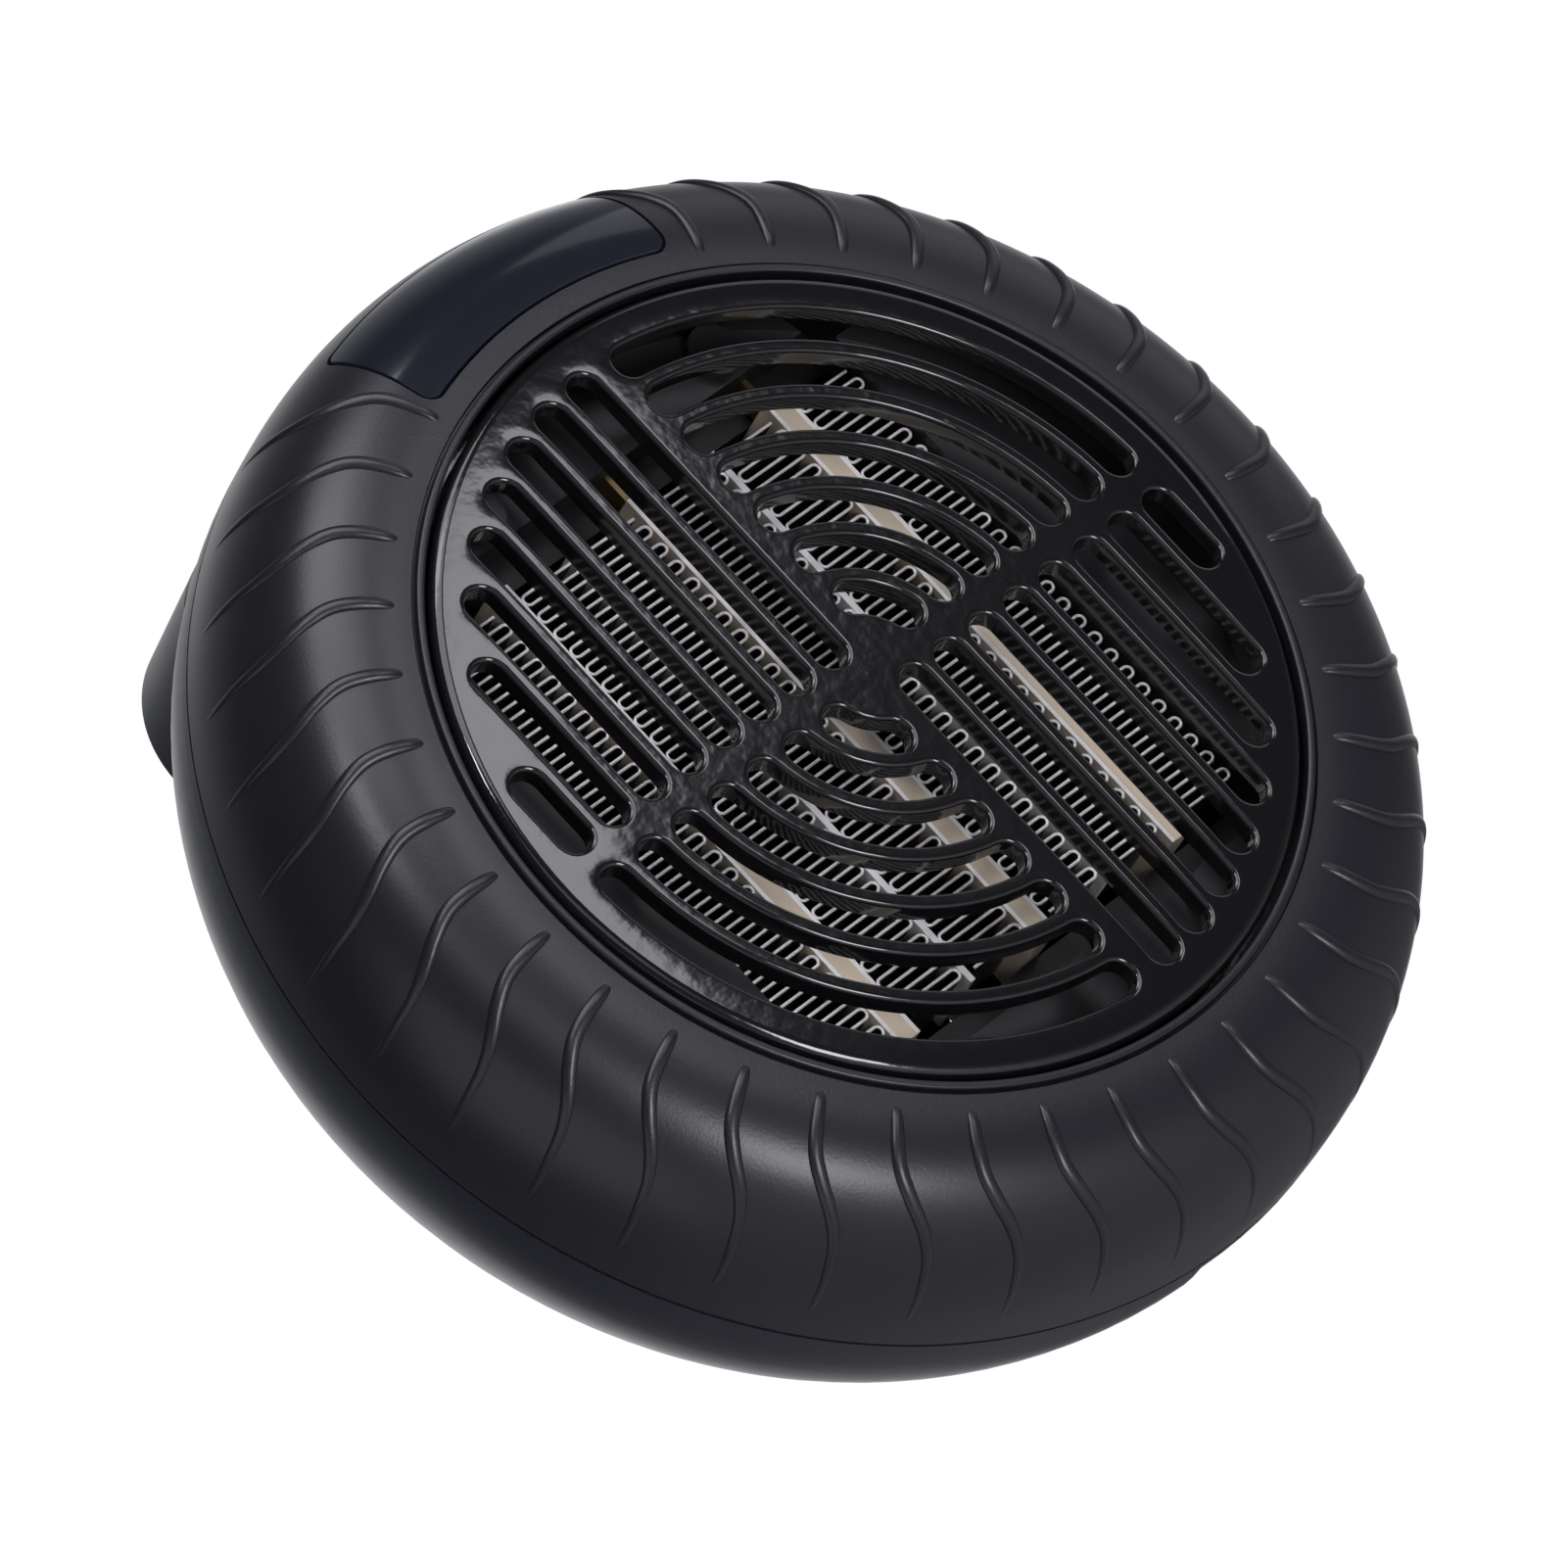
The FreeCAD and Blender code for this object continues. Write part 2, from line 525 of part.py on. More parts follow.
def rounding(start, end, outward, share, inset):
    """Two arcs that turn a right angle from start to end, drawn inset by a wall.

    Outward is true for the rim, which leaves its start along the radius,
    and false for the bowl, which leaves its start along the depth.
    """
    radial = end[0] - start[0]
    axial = end[1] - start[1]
    first_run, last_run = (radial, axial) if outward else (axial, -radial)
    short = shorter(first_run, last_run)
    long = longer(first_run, last_run)
    tight = share * short
    wide = (short * short + long * long - 2 * long * tight) / (2 * (short - tight))
    first = chosen(first_run, last_run, tight, wide)
    last = chosen(first_run, last_run, wide, tight)
    share_along = (last - first_run) / (last - first)
    share_aside = (first - last_run) / (last - first)
    first_in = first - inset
    last_in = last - inset
    if outward:
        first_centre = (start[0], start[1] + first)
        last_centre = (end[0] - last, end[1])
        begin = (start[0], start[1] + inset)
        middle = (first_centre[0] + first_in * share_along, first_centre[1] + first_in * share_aside)
        finish = (end[0] - inset, end[1])
    else:
        first_centre = (start[0] - first, start[1])
        last_centre = (end[0], end[1] - last)
        begin = (start[0] - inset, start[1])
        middle = (first_centre[0] - first_in * share_aside, first_centre[1] + first_in * share_along)
        finish = (end[0], end[1] - inset)
    return [(*begin, first_in, first_centre), (*middle, last_in, last_centre), finish]


def backwards(corners):
    """The same stretch of outline, walked from its far end."""
    turned = []
    for number in range(len(corners) - 1, -1, -1):
        arc = corners[number - 1][2:] if number else ()
        turned.append((*corners[number][:2], *arc))
    return turned


def edge_of(corner, following):
    """The line or arc from one corner to the next, and which of its ends the corner is."""
    begin = vector_of(corner)
    finish = vector_of(following)
    if len(corner) == 2:
        return Part.LineSegment(begin, finish), BEGIN
    centre = vector_of(corner[3])
    circle = Part.Circle(centre, FreeCAD.Vector(0, 0, 1), corner[2].value)
    begin_angle = circle.parameter(begin)
    finish_angle = circle.parameter(finish)
    sweep = (finish_angle - begin_angle) % (2 * math.pi)
    if sweep < math.pi:
        return Part.ArcOfCircle(circle, begin_angle, begin_angle + sweep), BEGIN
    return Part.ArcOfCircle(circle, finish_angle, finish_angle - sweep + 2 * math.pi), FINISH


def sketched(body, corners):
    """A closed sketch whose every corner is held by the sheet's sizes."""
    sketch = body.newObject("Sketcher::SketchObject", "Outline")
    plane = next(item for item in body.Origin.OriginFeatures if item.Role == "XY_Plane")
    sketch.AttachmentSupport = [(plane, "")]
    sketch.MapMode = "FlatFace"
    following = corners[1:] + corners[:1]
    edges = [edge_of(corner, after) for corner, after in zip(corners, following)]
    lines = [sketch.addGeometry(edge) for edge, end in edges]
    starts = [end for edge, end in edges]
    origin = (-1, 1)
    for number, corner in enumerate(corners):
        before = number - 1
        last_end = FINISH if starts[before] == BEGIN else BEGIN
        here = (lines[number], starts[number])
        sketch.addConstraint(Sketcher.Constraint("Coincident", lines[before], last_end, *here))
        for kind, axis, size in (("DistanceX", -2, corner[0]), ("DistanceY", -1, corner[1])):
            if isinstance(size, Size):
                held = sketch.addConstraint(Sketcher.Constraint(kind, *origin, *here, size.value))
                sketch.setExpression(f"Constraints[{held}]", size.formula)
            else:
                sketch.addConstraint(Sketcher.Constraint("PointOnObject", *here, axis))
        if len(corner) > 2:
            held = sketch.addConstraint(Sketcher.Constraint("Radius", lines[number], corner[2].value))
            sketch.setExpression(f"Constraints[{held}]", corner[2].formula)
    return sketch


def revolved(corners, z=0):
    """An outline turned about an axis that runs from front to back."""
    body = doc.addObject("PartDesign::Body", "Turned")
    sketch = sketched(body, corners)
    turn = body.newObject("PartDesign::Revolution", "Turn")
    turn.Profile = sketch
    turn.ReferenceAxis = (sketch, ["V_Axis"])
    turn.Angle = FULL_TURN
    return placed(body, 0, 0, z)


def padded(corners, height, x, depth, z, rotation):
    """An outline raised to a height, with its own first corner at the given place."""
    body = doc.addObject("PartDesign::Body", "Raised")
    pad = body.newObject("PartDesign::Pad", "Raise")
    pad.Profile = sketched(body, corners)
    pad.setExpression("Length", height.formula)
    return placed(body, x, depth, z, rotation)


def round_places(circle, angles):
    return [(circle * cosine(angle), circle * sine(angle)) for angle in angles]


def four_corners(angle):
    return (angle, HALF_TURN - angle, HALF_TURN + angle, -angle)


def screw(x, z, seat, forward):
    """A screw driven forward from behind, its head on the seat."""
    head = rod(dim.screw_head_radius, (seat, seat + dim.screw_head_height), x, z)
    return fused(head, rod(dim.screw_radius, (seat - forward, seat), x, z))


# Front shell and display panel

rim_back = dim.rim_front + dim.wall
rim_start = (dim.rim_flat_radius, dim.rim_front)
rim_end = (dim.body_radius, dim.rim_shoulder)
shell_posts = round_places(dim.shell_screw_circle, four_corners(dim.shell_screw_angle))
ears = round_places(dim.ear_circle, four_corners(dim.ear_angle))


def rim_ring():
    outer = rounding(rim_start, rim_end, True, dim.rim_round_share, as_size(0))
    inner = rounding(rim_start, rim_end, True, dim.rim_round_share, dim.wall)
    return revolved([
        (dim.collar_radius, dim.bead_front),
        (dim.bead_radius, dim.bead_front),
        (dim.bead_radius, dim.rim_front + dim.crease_depth),
        (dim.crease_radius, dim.rim_front + dim.crease_depth),
        (dim.crease_radius, dim.rim_front),
        *outer,
        (dim.body_radius, dim.seam_depth),
        (dim.body_radius - dim.wall, dim.seam_depth),
        *backwards(inner),
        (dim.collar_radius + dim.collar_wall, rim_back),
        (dim.collar_radius + dim.collar_wall, dim.collar_end),
        (dim.collar_radius, dim.collar_end),
    ])


def rim_filled():
    """The rim with nothing hollowed out, to trim the posts inside it."""
    half_wall = dim.wall / 2
    return revolved([
        (0, dim.rim_front + half_wall),
        (dim.rim_flat_radius - half_wall, dim.rim_front + half_wall),
        *rounding(rim_start, rim_end, True, dim.rim_round_share, half_wall),
        (dim.body_radius - half_wall, dim.seam_depth),
        (0, dim.seam_depth),
    ])


def panel_block(gap):
    """The space of the display panel: a stretch of the rim, grown by a gap."""
    far = dim.body_radius + dim.overrun
    ring = tube(far, dim.panel_inner_radius - gap, (-dim.overrun, dim.panel_depth + gap))
    sides = box((-dim.panel_half_width - gap, dim.panel_half_width + gap),
                (-dim.overrun - dim.overrun, dim.panel_depth + dim.wall), (0, far))
    return shared(ring, sides)


def front_shell():
    posts = [rod(dim.shell_post_radius, (dim.rim_front, dim.seam_depth), x, z) for x, z in shell_posts]
    posts += [rod(dim.boss_radius, (dim.rim_front, dim.frame_front), x, z) for x, z in ears]
    trimmed = shared(grouped(posts), rim_filled())
    post_hole = (dim.seam_depth - dim.screw_bite - dim.overrun, dim.seam_depth + dim.overrun)
    holes = [rod(dim.screw_radius, post_hole, x, z) for x, z in shell_posts]
    ear_hole = (dim.frame_front - dim.short_bite - dim.fit_gap, dim.frame_front + dim.overrun)
    holes += [rod(dim.screw_radius, ear_hole, x, z) for x, z in ears]
    ring = cut(rim_ring(), panel_block(dim.fit_gap))
    piece("front_shell", cut(fused(ring, trimmed), grouped(holes)))


def display_panel():
    piece("display_panel", shared(rim_ring(), panel_block(as_size(0))))


def on_slope(thing, x, along, lift):
    """Set a thing on the slope behind the panel, along it and above it from the board's middle."""
    slope = 90 - dim.panel_tilt
    depth = dim.display_board_depth + along * cosine(slope) - lift * sine(slope)
    height = dim.display_board_radius + along * sine(slope) + lift * cosine(slope)
    return placed(thing, x, depth, height, FreeCAD.Rotation(FreeCAD.Vector(1, 0, 0), slope.value))


def sloped_box(label, width, height, thickness, lift):
    thing = doc.addObject("Part::Box", "Sloped")
    bound(thing, {"Length": width, "Width": height, "Height": thickness})
    piece(label, on_slope(thing, -width / 2, -height / 2, lift))


def display_parts():
    thickness = dim.board_thickness
    sloped_box("display_board", dim.display_board_width, dim.display_board_height, thickness, -thickness)
    sloped_box("led_display", dim.display_width, dim.display_height, dim.display_thickness, as_size(0))
    springs = []
    for x in (-dim.touch_spring_offset, dim.touch_spring_offset):
        spring = doc.addObject("Part::Cylinder", "Spring")
        bound(spring, {"Radius": dim.touch_spring_radius, "Height": dim.touch_spring_length})
        springs.append(on_slope(spring, x, as_size(0), as_size(0)))
    piece("touch_springs", grouped(springs))


# Front grille

def straight_slot(x, low, high):
    half = dim.slot_width.value / 2
    left_low = FreeCAD.Vector(x - half, 0, low + half)
    left_high = FreeCAD.Vector(x - half, 0, high - half)
    right_high = FreeCAD.Vector(x + half, 0, high - half)
    right_low = FreeCAD.Vector(x + half, 0, low + half)
    return [
        Part.LineSegment(left_low, left_high),
        Part.Arc(left_high, FreeCAD.Vector(x, 0, high), right_high),
        Part.LineSegment(right_high, right_low),
        Part.Arc(right_low, FreeCAD.Vector(x, 0, low), left_low),
    ]


def arc_slot(radius):
    half = dim.slot_width.value / 2
    low = math.asin((dim.arc_level_band.value + half) / radius)
    high = math.acos((dim.arc_upright_band.value + half) / radius)

    def at(distance, angle, ahead=0):
        return FreeCAD.Vector(distance * math.cos(angle) - ahead * math.sin(angle), 0,
                              distance * math.sin(angle) + ahead * math.cos(angle))

    middle = (low + high) / 2
    return [
        Part.Arc(at(radius + half, low), at(radius + half, middle), at(radius + half, high)),
        Part.Arc(at(radius + half, high), at(radius, high, half), at(radius - half, high)),
        Part.Arc(at(radius - half, high), at(radius - half, middle), at(radius - half, low)),
        Part.Arc(at(radius - half, low), at(radius, low, -half), at(radius + half, low)),
    ]


def grille_slots():
    """Straight slots at the upper left and arcs at the upper right, and the same turned half round."""
    outlines = []
    reach = dim.slot_reach.value
    least_top = dim.slot_level_band.value + 2 * dim.slot_width.value
    count = int(math.sqrt(reach ** 2 - least_top ** 2) / dim.slot_pitch.value + 1 / 2)
    for number in range(count):
        offset = (number + 1 / 2) * dim.slot_pitch.value
        top = math.sqrt(reach ** 2 - offset ** 2)
        outlines.append(straight_slot(-offset, dim.slot_level_band.value, top))
        if number:
            outlines.append(arc_slot(offset))
    slots = []
    for outline in outlines:
        face = Part.Face(Part.Wire([curve.toShape() for curve in outline]))
        face.translate(FreeCAD.Vector(0, -dim.overrun.value, 0))
        slot = face.extrude(FreeCAD.Vector(0, dim.grille_thickness.value + 2 * dim.overrun.value, 0))
        slots += [slot, slot.rotated(ORIGIN, FAN_AXIS, HALF_TURN)]
    return placed(drawn(Part.makeCompound(slots), "Slots"), 0, 0, 0)


def front_grille():
    inside = dim.grille_radius - dim.grille_skirt
    flange = dim.grille_radius + dim.grille_flange
    cap = revolved([
        (0, 0),
        (dim.grille_radius, 0),
        (dim.grille_radius, dim.collar_end),
        (flange, dim.collar_end),
        (flange, dim.frame_front),
        (inside, dim.frame_front),
        (inside, dim.grille_thickness),
        (0, dim.grille_thickness),
    ])
    piece("front_grille", cut(cap, grille_slots()))


# Heating block

def unit_middle(number):
    return (number - (dim.unit_count - 1) / 2) * dim.unit_pitch


def fin_outline():
    """The edge of a sheet folded to and fro across the row, seen from the front."""
    reach = (dim.fin_row_width.value - dim.fin_thickness.value) / 2
    step = dim.fin_pitch.value / 2
    runs = int((2 * dim.fin_row_half.value - dim.fin_thickness.value) / step)
    bottom = -runs * step / 2
    path = []
    for run in range(runs + 1):
        side = reach if run % 2 else -reach
        path += [(side, bottom + run * step), (-side, bottom + run * step)]
    half = dim.fin_thickness.value / 2
    left, right = [], []
    for number, (x, z) in enumerate(path):
        aside_x, aside_z = 0, 0
        for begin, finish in ((number - 1, number), (number, number + 1)):
            if begin >= 0 and finish < len(path):
                run_x, run_z = path[finish][0] - path[begin][0], path[finish][1] - path[begin][1]
                length = math.hypot(run_x, run_z)
                aside_x -= half * run_z / length
                aside_z += half * run_x / length
        left.append(FreeCAD.Vector(x + aside_x, 0, z + aside_z))
        right.append(FreeCAD.Vector(x - aside_x, 0, z - aside_z))
    corners = left + right[::-1]
    return Part.Face(Part.makePolygon(corners + corners[:1]))


def heating_block():
    back = (dim.fin_front, dim.fin_back)
    row_offset = (dim.bar_width + dim.fin_row_width) / 2
    tabs = []
    row_number = 0
    for number in range(int(dim.unit_count.value)):
        middle = unit_middle(number)
        for side in (-1, 1):
            row_number += 1
            sheet_metal = fin_outline().extrude(FreeCAD.Vector(0, dim.fin_depth.value, 0))
            row = placed(drawn(sheet_metal, "FoldedFin"), middle + side * row_offset, dim.fin_front, 0)
            piece(f"fin_row_{row_number}", row)
        half_bar = dim.bar_width / 2
        bar = box((middle - half_bar, middle + half_bar), back, (-dim.block_half, dim.block_half))
        piece(f"heating_bar_{number + 1}", bar)
        half_tab = dim.tab_thickness / 2
        tabs.append(box((middle - half_tab, middle + half_tab), (dim.tab_front, dim.tab_back),
                        (dim.block_half, dim.block_half + dim.tab_length)))
        if number:
            edge = middle - dim.unit_width / 2
            strip = box((edge - dim.strip_width, edge), back, (-dim.fin_row_half, dim.fin_row_half))
            piece(f"unit_strip_{number}", strip)
    piece("heater_terminals", grouped(tabs))


# Heater frame with its duct

housing_posts = round_places(dim.housing_post_circle, four_corners(dim.shell_screw_angle))
front_bosses = round_places(dim.boss_circle, four_corners(dim.boss_angle))


def heater_frame():
    duct = (-dim.duct_half, dim.duct_half)
    window = (-dim.window_half, dim.window_half)
    header = (dim.frame_front, dim.header_floor + dim.duct_wall)
    solids = [
        rod(dim.frame_radius, (dim.frame_front, dim.frame_back)),
        box(duct, (dim.frame_front, dim.duct_end), duct),
        box(duct, header, (-dim.header_outside, dim.header_outside)),
    ]
    solids += [rod(dim.ear_radius, (dim.frame_front, dim.frame_back), x, z) for x, z in ears]
    solids += [rod(dim.boss_radius, (dim.frame_front, dim.duct_end), x, z) for x, z in housing_posts]
    boss = (dim.frame_front - dim.boss_height, dim.frame_back)
    solids += [rod(dim.boss_radius, boss, x, z) for x, z in front_bosses]
    before = dim.frame_front - dim.boss_height - dim.overrun
    holes = [
        box(window, (before, dim.duct_end + dim.overrun), window),
        box(window, (before, dim.header_floor), (-dim.header_half, dim.header_half)),
    ]
    holes += [rod(dim.screw_hole, (dim.frame_front - dim.overrun, dim.frame_back + dim.overrun), x, z)
              for x, z in ears]
    post_hole = (dim.duct_end - dim.screw_bite - dim.overrun, dim.duct_end + dim.overrun)
    holes += [rod(dim.screw_radius, post_hole, x, z) for x, z in housing_posts]
    for number in range(int(dim.unit_count.value)):
        middle = unit_middle(number)
        side = dim.tab_thickness / 2 + dim.fit_gap
        tab_hole = (dim.tab_front - dim.fit_gap, dim.tab_back + dim.fit_gap)
        holes.append(box((middle - side, middle + side), tab_hole, (0, dim.header_outside + dim.overrun)))
    piece("heater_frame", cut(fused(*solids), fused(*holes)))
    screws = [screw(x, z, dim.frame_back, dim.frame_thickness + dim.short_bite) for x, z in ears]
    piece("frame_screws", grouped(screws))


def heat_guards():
    """Thermal cut-out and thermal fuse, both lying on top of the hot frame between two terminals."""
    between = dim.unit_pitch / 2
    half_cutout = dim.cutout_length / 2
    cutout = box((between - half_cutout, between + half_cutout),
                 (dim.sensor_depth, dim.sensor_depth + dim.cutout_width),
                 (dim.header_outside, dim.header_outside + dim.cutout_height))
    piece("thermal_cutout", cutout)
    half_fuse = dim.fuse_length / 2
    fuse = level_rod(dim.fuse_radius, (-between - half_fuse, -between + half_fuse),
                     dim.sensor_depth + dim.fuse_radius, dim.header_outside + dim.fuse_radius)
    piece("thermal_fuse", fuse)


# Fan

board_posts = ((-dim.board_post_offset, dim.board_post_depth), (dim.board_post_offset, dim.board_post_depth))


def fan_housing():
    flange_back = dim.duct_end + dim.fan_flange_thickness
    outer = dim.fan_bore + dim.fan_wall
    shell = revolved([
        (dim.fan_bore, dim.duct_end),
        (dim.fan_flange_radius, dim.duct_end),
        (dim.fan_flange_radius, flange_back),
        (outer, flange_back),
        (outer, dim.fan_end),
        (dim.fan_bore, dim.fan_end),
    ])
    half_arm = dim.arm_width / 2
    reach = dim.fan_bore + dim.fan_wall / 2
    back = (dim.arm_front, dim.fan_end)
    level_arm = box((-reach, reach), back, (-half_arm, half_arm))
    upright_arm = box((-half_arm, half_arm), back, (-reach, reach))
    ring = rod(dim.motor_ring_radius, back)
    under = dim.control_board_level
    posts = [post(dim.board_post_radius, (dim.fan_bore / 2, under), x, depth) for x, depth in board_posts]
    trimmed = cut(grouped(posts), rod(reach, (dim.duct_end, dim.fan_end + dim.overrun)))
    nose_hole = (dim.arm_front - dim.overrun, dim.fan_end + dim.overrun)
    flat = cut(fused(shell, level_arm, upright_arm, ring, trimmed),
               rod(dim.motor_nose_radius + dim.fit_gap, nose_hole))
    holes = [rod(dim.screw_hole, (dim.duct_end - dim.overrun, flange_back + dim.overrun), x, z)
             for x, z in housing_posts]
    holes += [post(dim.screw_radius, (under - dim.short_bite - dim.fit_gap, under + dim.overrun), x, depth)
              for x, depth in board_posts]
    piece("fan_housing", cut(flat, grouped(holes)))
    screws = [screw(x, z, flange_back, dim.fan_flange_thickness + dim.screw_bite) for x, z in housing_posts]
    piece("housing_screws", grouped(screws))


def fan_motor():
    can = rod(dim.motor_radius, (dim.fan_end, dim.fan_end + dim.motor_length))
    nose = rod(dim.motor_nose_radius, (dim.fan_end - dim.motor_nose_length, dim.fan_end))
    sunk = dim.fan_end + dim.shaft_sunk
    hole = rod(dim.shaft_radius + dim.shaft_gap,
               (dim.fan_end - dim.motor_nose_length - dim.overrun, sunk + dim.shaft_end_gap))
    piece("fan_motor", cut(fused(can, nose), hole))
    piece("motor_shaft", rod(dim.shaft_radius, (dim.shaft_start, sunk)))


def blade():
    """A flat twisted blade that points to the right, from the hub's wall to the tip."""
    middle = (dim.hub_front + dim.hub_length / 2).value
    root = dim.hub_radius.value - dim.blade_sink.value
    ends = (
        (root, dim.blade_root_chord, dim.blade_root_angle),
        (dim.blade_tip.value, dim.blade_tip_chord, dim.blade_tip_angle),
    )
    wires = []
    for radius, chord, angle in ends:
        turn = math.radians(angle.value)
        along = FreeCAD.Vector(0, math.cos(turn), math.sin(turn)) * (chord.value / 2)
        aside = FreeCAD.Vector(0, -math.sin(turn), math.cos(turn)) * (dim.blade_thickness.value / 2)
        centre = FreeCAD.Vector(radius, middle, 0)
        corners = [centre + along + aside, centre - along + aside]
        corners += [centre - along - aside, centre + along - aside]
        wires.append(Part.makePolygon(corners + corners[:1]))
    return Part.makeLoft(wires, True, True)


def fan_impeller():
    count = int(dim.blade_count.value)
    shape = blade()
    turned = [shape.rotated(ORIGIN, FAN_AXIS, number * FULL_TURN / count) for number in range(count)]
    blades = placed(drawn(Part.makeCompound(turned), "Blades"), 0, 0, 0)
    front_wall = dim.hub_front + dim.hub_wall
    hub = revolved([
        (dim.shaft_radius, dim.hub_front),
        (dim.hub_radius, dim.hub_front),
        (dim.hub_radius, dim.hub_back),
        (dim.hub_radius - dim.hub_wall, dim.hub_back),
        (dim.hub_radius - dim.hub_wall, front_wall),
        (dim.hub_core_radius, front_wall),
        (dim.hub_core_radius, dim.hub_back),
        (dim.shaft_radius, dim.hub_back),
    ])
    piece("fan_impeller", fused(hub, blades))


# Rear shell with its turret

bowl_from = (dim.body_radius, dim.bowl_start)
bowl_to = (dim.back_radius, dim.back_depth)


def bowl(inset, start):
    return revolved([
        (0, start),
        (dim.body_radius - inset, start),
        *rounding(bowl_from, bowl_to, False, dim.bowl_round_share, inset),
        (0, dim.back_depth - inset),
    ])


def vents():
    """Air slots in the flat back, spread like spokes."""
    count = int(dim.vent_count.value)
    back = (dim.back_depth - dim.wall - dim.overrun, dim.back_depth + dim.overrun)
    half = dim.vent_width / 2
    slots = []
    for number in range(count):
        angle = number * FULL_TURN / count
        slot = box((dim.vent_inner, dim.vent_outer), back, (-half, half))
        slot.Placement.Rotation = FreeCAD.Rotation(FAN_AXIS, -angle)
        bound(slot, {
            "Placement.Base.x": dim.vent_inner * cosine(angle) + half * sine(angle),
            "Placement.Base.z": dim.vent_inner * sine(angle) - half * cosine(angle) - dim.plug_rise,
        })
        slots.append(slot)
    return grouped(slots)


def switch_block(half_width, half_length, low, high):
    """A block at the switch, between two distances below the body's axis."""
    return box((dim.switch_offset - half_width, dim.switch_offset + half_width),
               (dim.switch_depth - half_length, dim.switch_depth + half_length), (-high, -low))


def rear_shell():
    rise = dim.plug_rise
    outer = fused(
        bowl(as_size(0), dim.seam_depth),
        cone(dim.fairing_radius, dim.turret_radius, (dim.fairing_start, dim.turret_start), 0, rise),
        cone(dim.turret_radius, dim.turret_end_radius, (dim.turret_start, dim.turret_end), 0, rise),
    )
    hollow = cut(outer, bowl(dim.wall, dim.seam_depth - dim.overrun),
                 rod(dim.turret_bore, (dim.turret_start, dim.turret_inside), 0, rise))
    tongue_radius = dim.body_radius - dim.wall - dim.fit_gap
    tongue_inside = tongue_radius - dim.tongue_wall
    tongue = tube(tongue_radius, tongue_inside, (dim.seam_depth - dim.tongue_length, dim.seam_depth))
    rest = tube(dim.body_radius - dim.wall / 2, tongue_inside, (dim.seam_depth, dim.bowl_start))
    recess_half_width = dim.recess_width / 2
    recess_half_length = dim.recess_length / 2
    pad = switch_block(recess_half_width + dim.wall, recess_half_length,
                       dim.switch_floor - dim.switch_pad, dim.body_radius)
    tubes = [rod(dim.shell_tube_radius, (dim.seam_depth, dim.back_depth), x, z) for x, z in shell_posts]
    inner = shared(grouped([pad, *tubes]), bowl(dim.wall / 2, dim.seam_depth))
    stem_hole = (dim.turret_inside - dim.overrun, dim.turret_end + dim.overrun)
    holes = [vents(), rod(dim.stem_radius + dim.stem_gap, stem_hole, 0, rise)]
    holes += [rod(dim.screw_hole, (dim.seam_depth - dim.overrun, dim.back_depth), x, z) for x, z in shell_posts]
    holes += [rod(dim.screw_well_radius, (dim.shell_screw_seat, dim.back_depth), x, z) for x, z in shell_posts]
    holes += [
        switch_block(recess_half_width, recess_half_length, dim.switch_floor, dim.body_radius + dim.overrun),
        switch_block(dim.switch_width / 2 + dim.fit_gap, dim.switch_length / 2 + dim.fit_gap,
                     dim.switch_floor - dim.switch_pad - dim.overrun, dim.body_radius),
    ]
    piece("rear_shell", cut(fused(hollow, tongue, rest, inner), fused(*holes)))
    reach = dim.shell_screw_seat - dim.seam_depth + dim.screw_bite
    piece("shell_screws", grouped([screw(x, z, dim.shell_screw_seat, reach) for x, z in shell_posts]))


# Plug that turns in the turret

def plug():
    rise = dim.plug_rise
    inner_end = dim.plug_reach - dim.plug_end_wall
    nose = revolved([
        (dim.stem_bore, dim.stem_start),
        (dim.stem_radius, dim.stem_start),
        (dim.stem_radius, dim.plug_start),
        (dim.turret_end_radius, dim.plug_start),
        (dim.plug_radius, dim.plug_reach),
        (0, dim.plug_reach),
        (0, inner_end),
        (dim.plug_radius - dim.plug_wall, inner_end),
        (dim.plug_radius - dim.plug_wall, dim.plug_start + dim.plug_wall),
        (dim.stem_bore, dim.plug_start + dim.plug_wall),
    ], rise)
    pin_heights = (rise - dim.pin_spacing / 2, rise + dim.pin_spacing / 2)
    hole = (inner_end - dim.overrun, dim.plug_reach + dim.overrun)
    holes = [rod(dim.pin_neck_radius, hole, 0, height) for height in pin_heights]
    piece("plug_nose", cut(nose, grouped(holes)))
    tip_end = dim.plug_reach + dim.pin_length
    tip_start = tip_end - dim.pin_tip_length
    pins = []
    for height in pin_heights:
        neck = rod(dim.pin_neck_radius, (inner_end - dim.pin_tail, dim.plug_reach), 0, height)
        straight = rod(dim.pin_radius, (dim.plug_reach, tip_start), 0, height)
        tip = cone(dim.pin_radius, dim.pin_tip_radius, (tip_start, tip_end), 0, height)
        pins.append(fused(neck, straight, tip))
    piece("plug_pins", grouped(pins))
    ring_back = dim.turret_inside - dim.retainer_gap
    ring = tube(dim.retainer_radius, dim.stem_radius, (ring_back - dim.retainer_thickness, ring_back), 0, rise)
    piece("plug_retainer", ring)


# Power switch

pivot_level = dim.switch_floor + dim.bezel_thickness - dim.rocker_sunk
rocker_half = dim.switch_width / 2 - dim.switch_wall - dim.rocker_gap


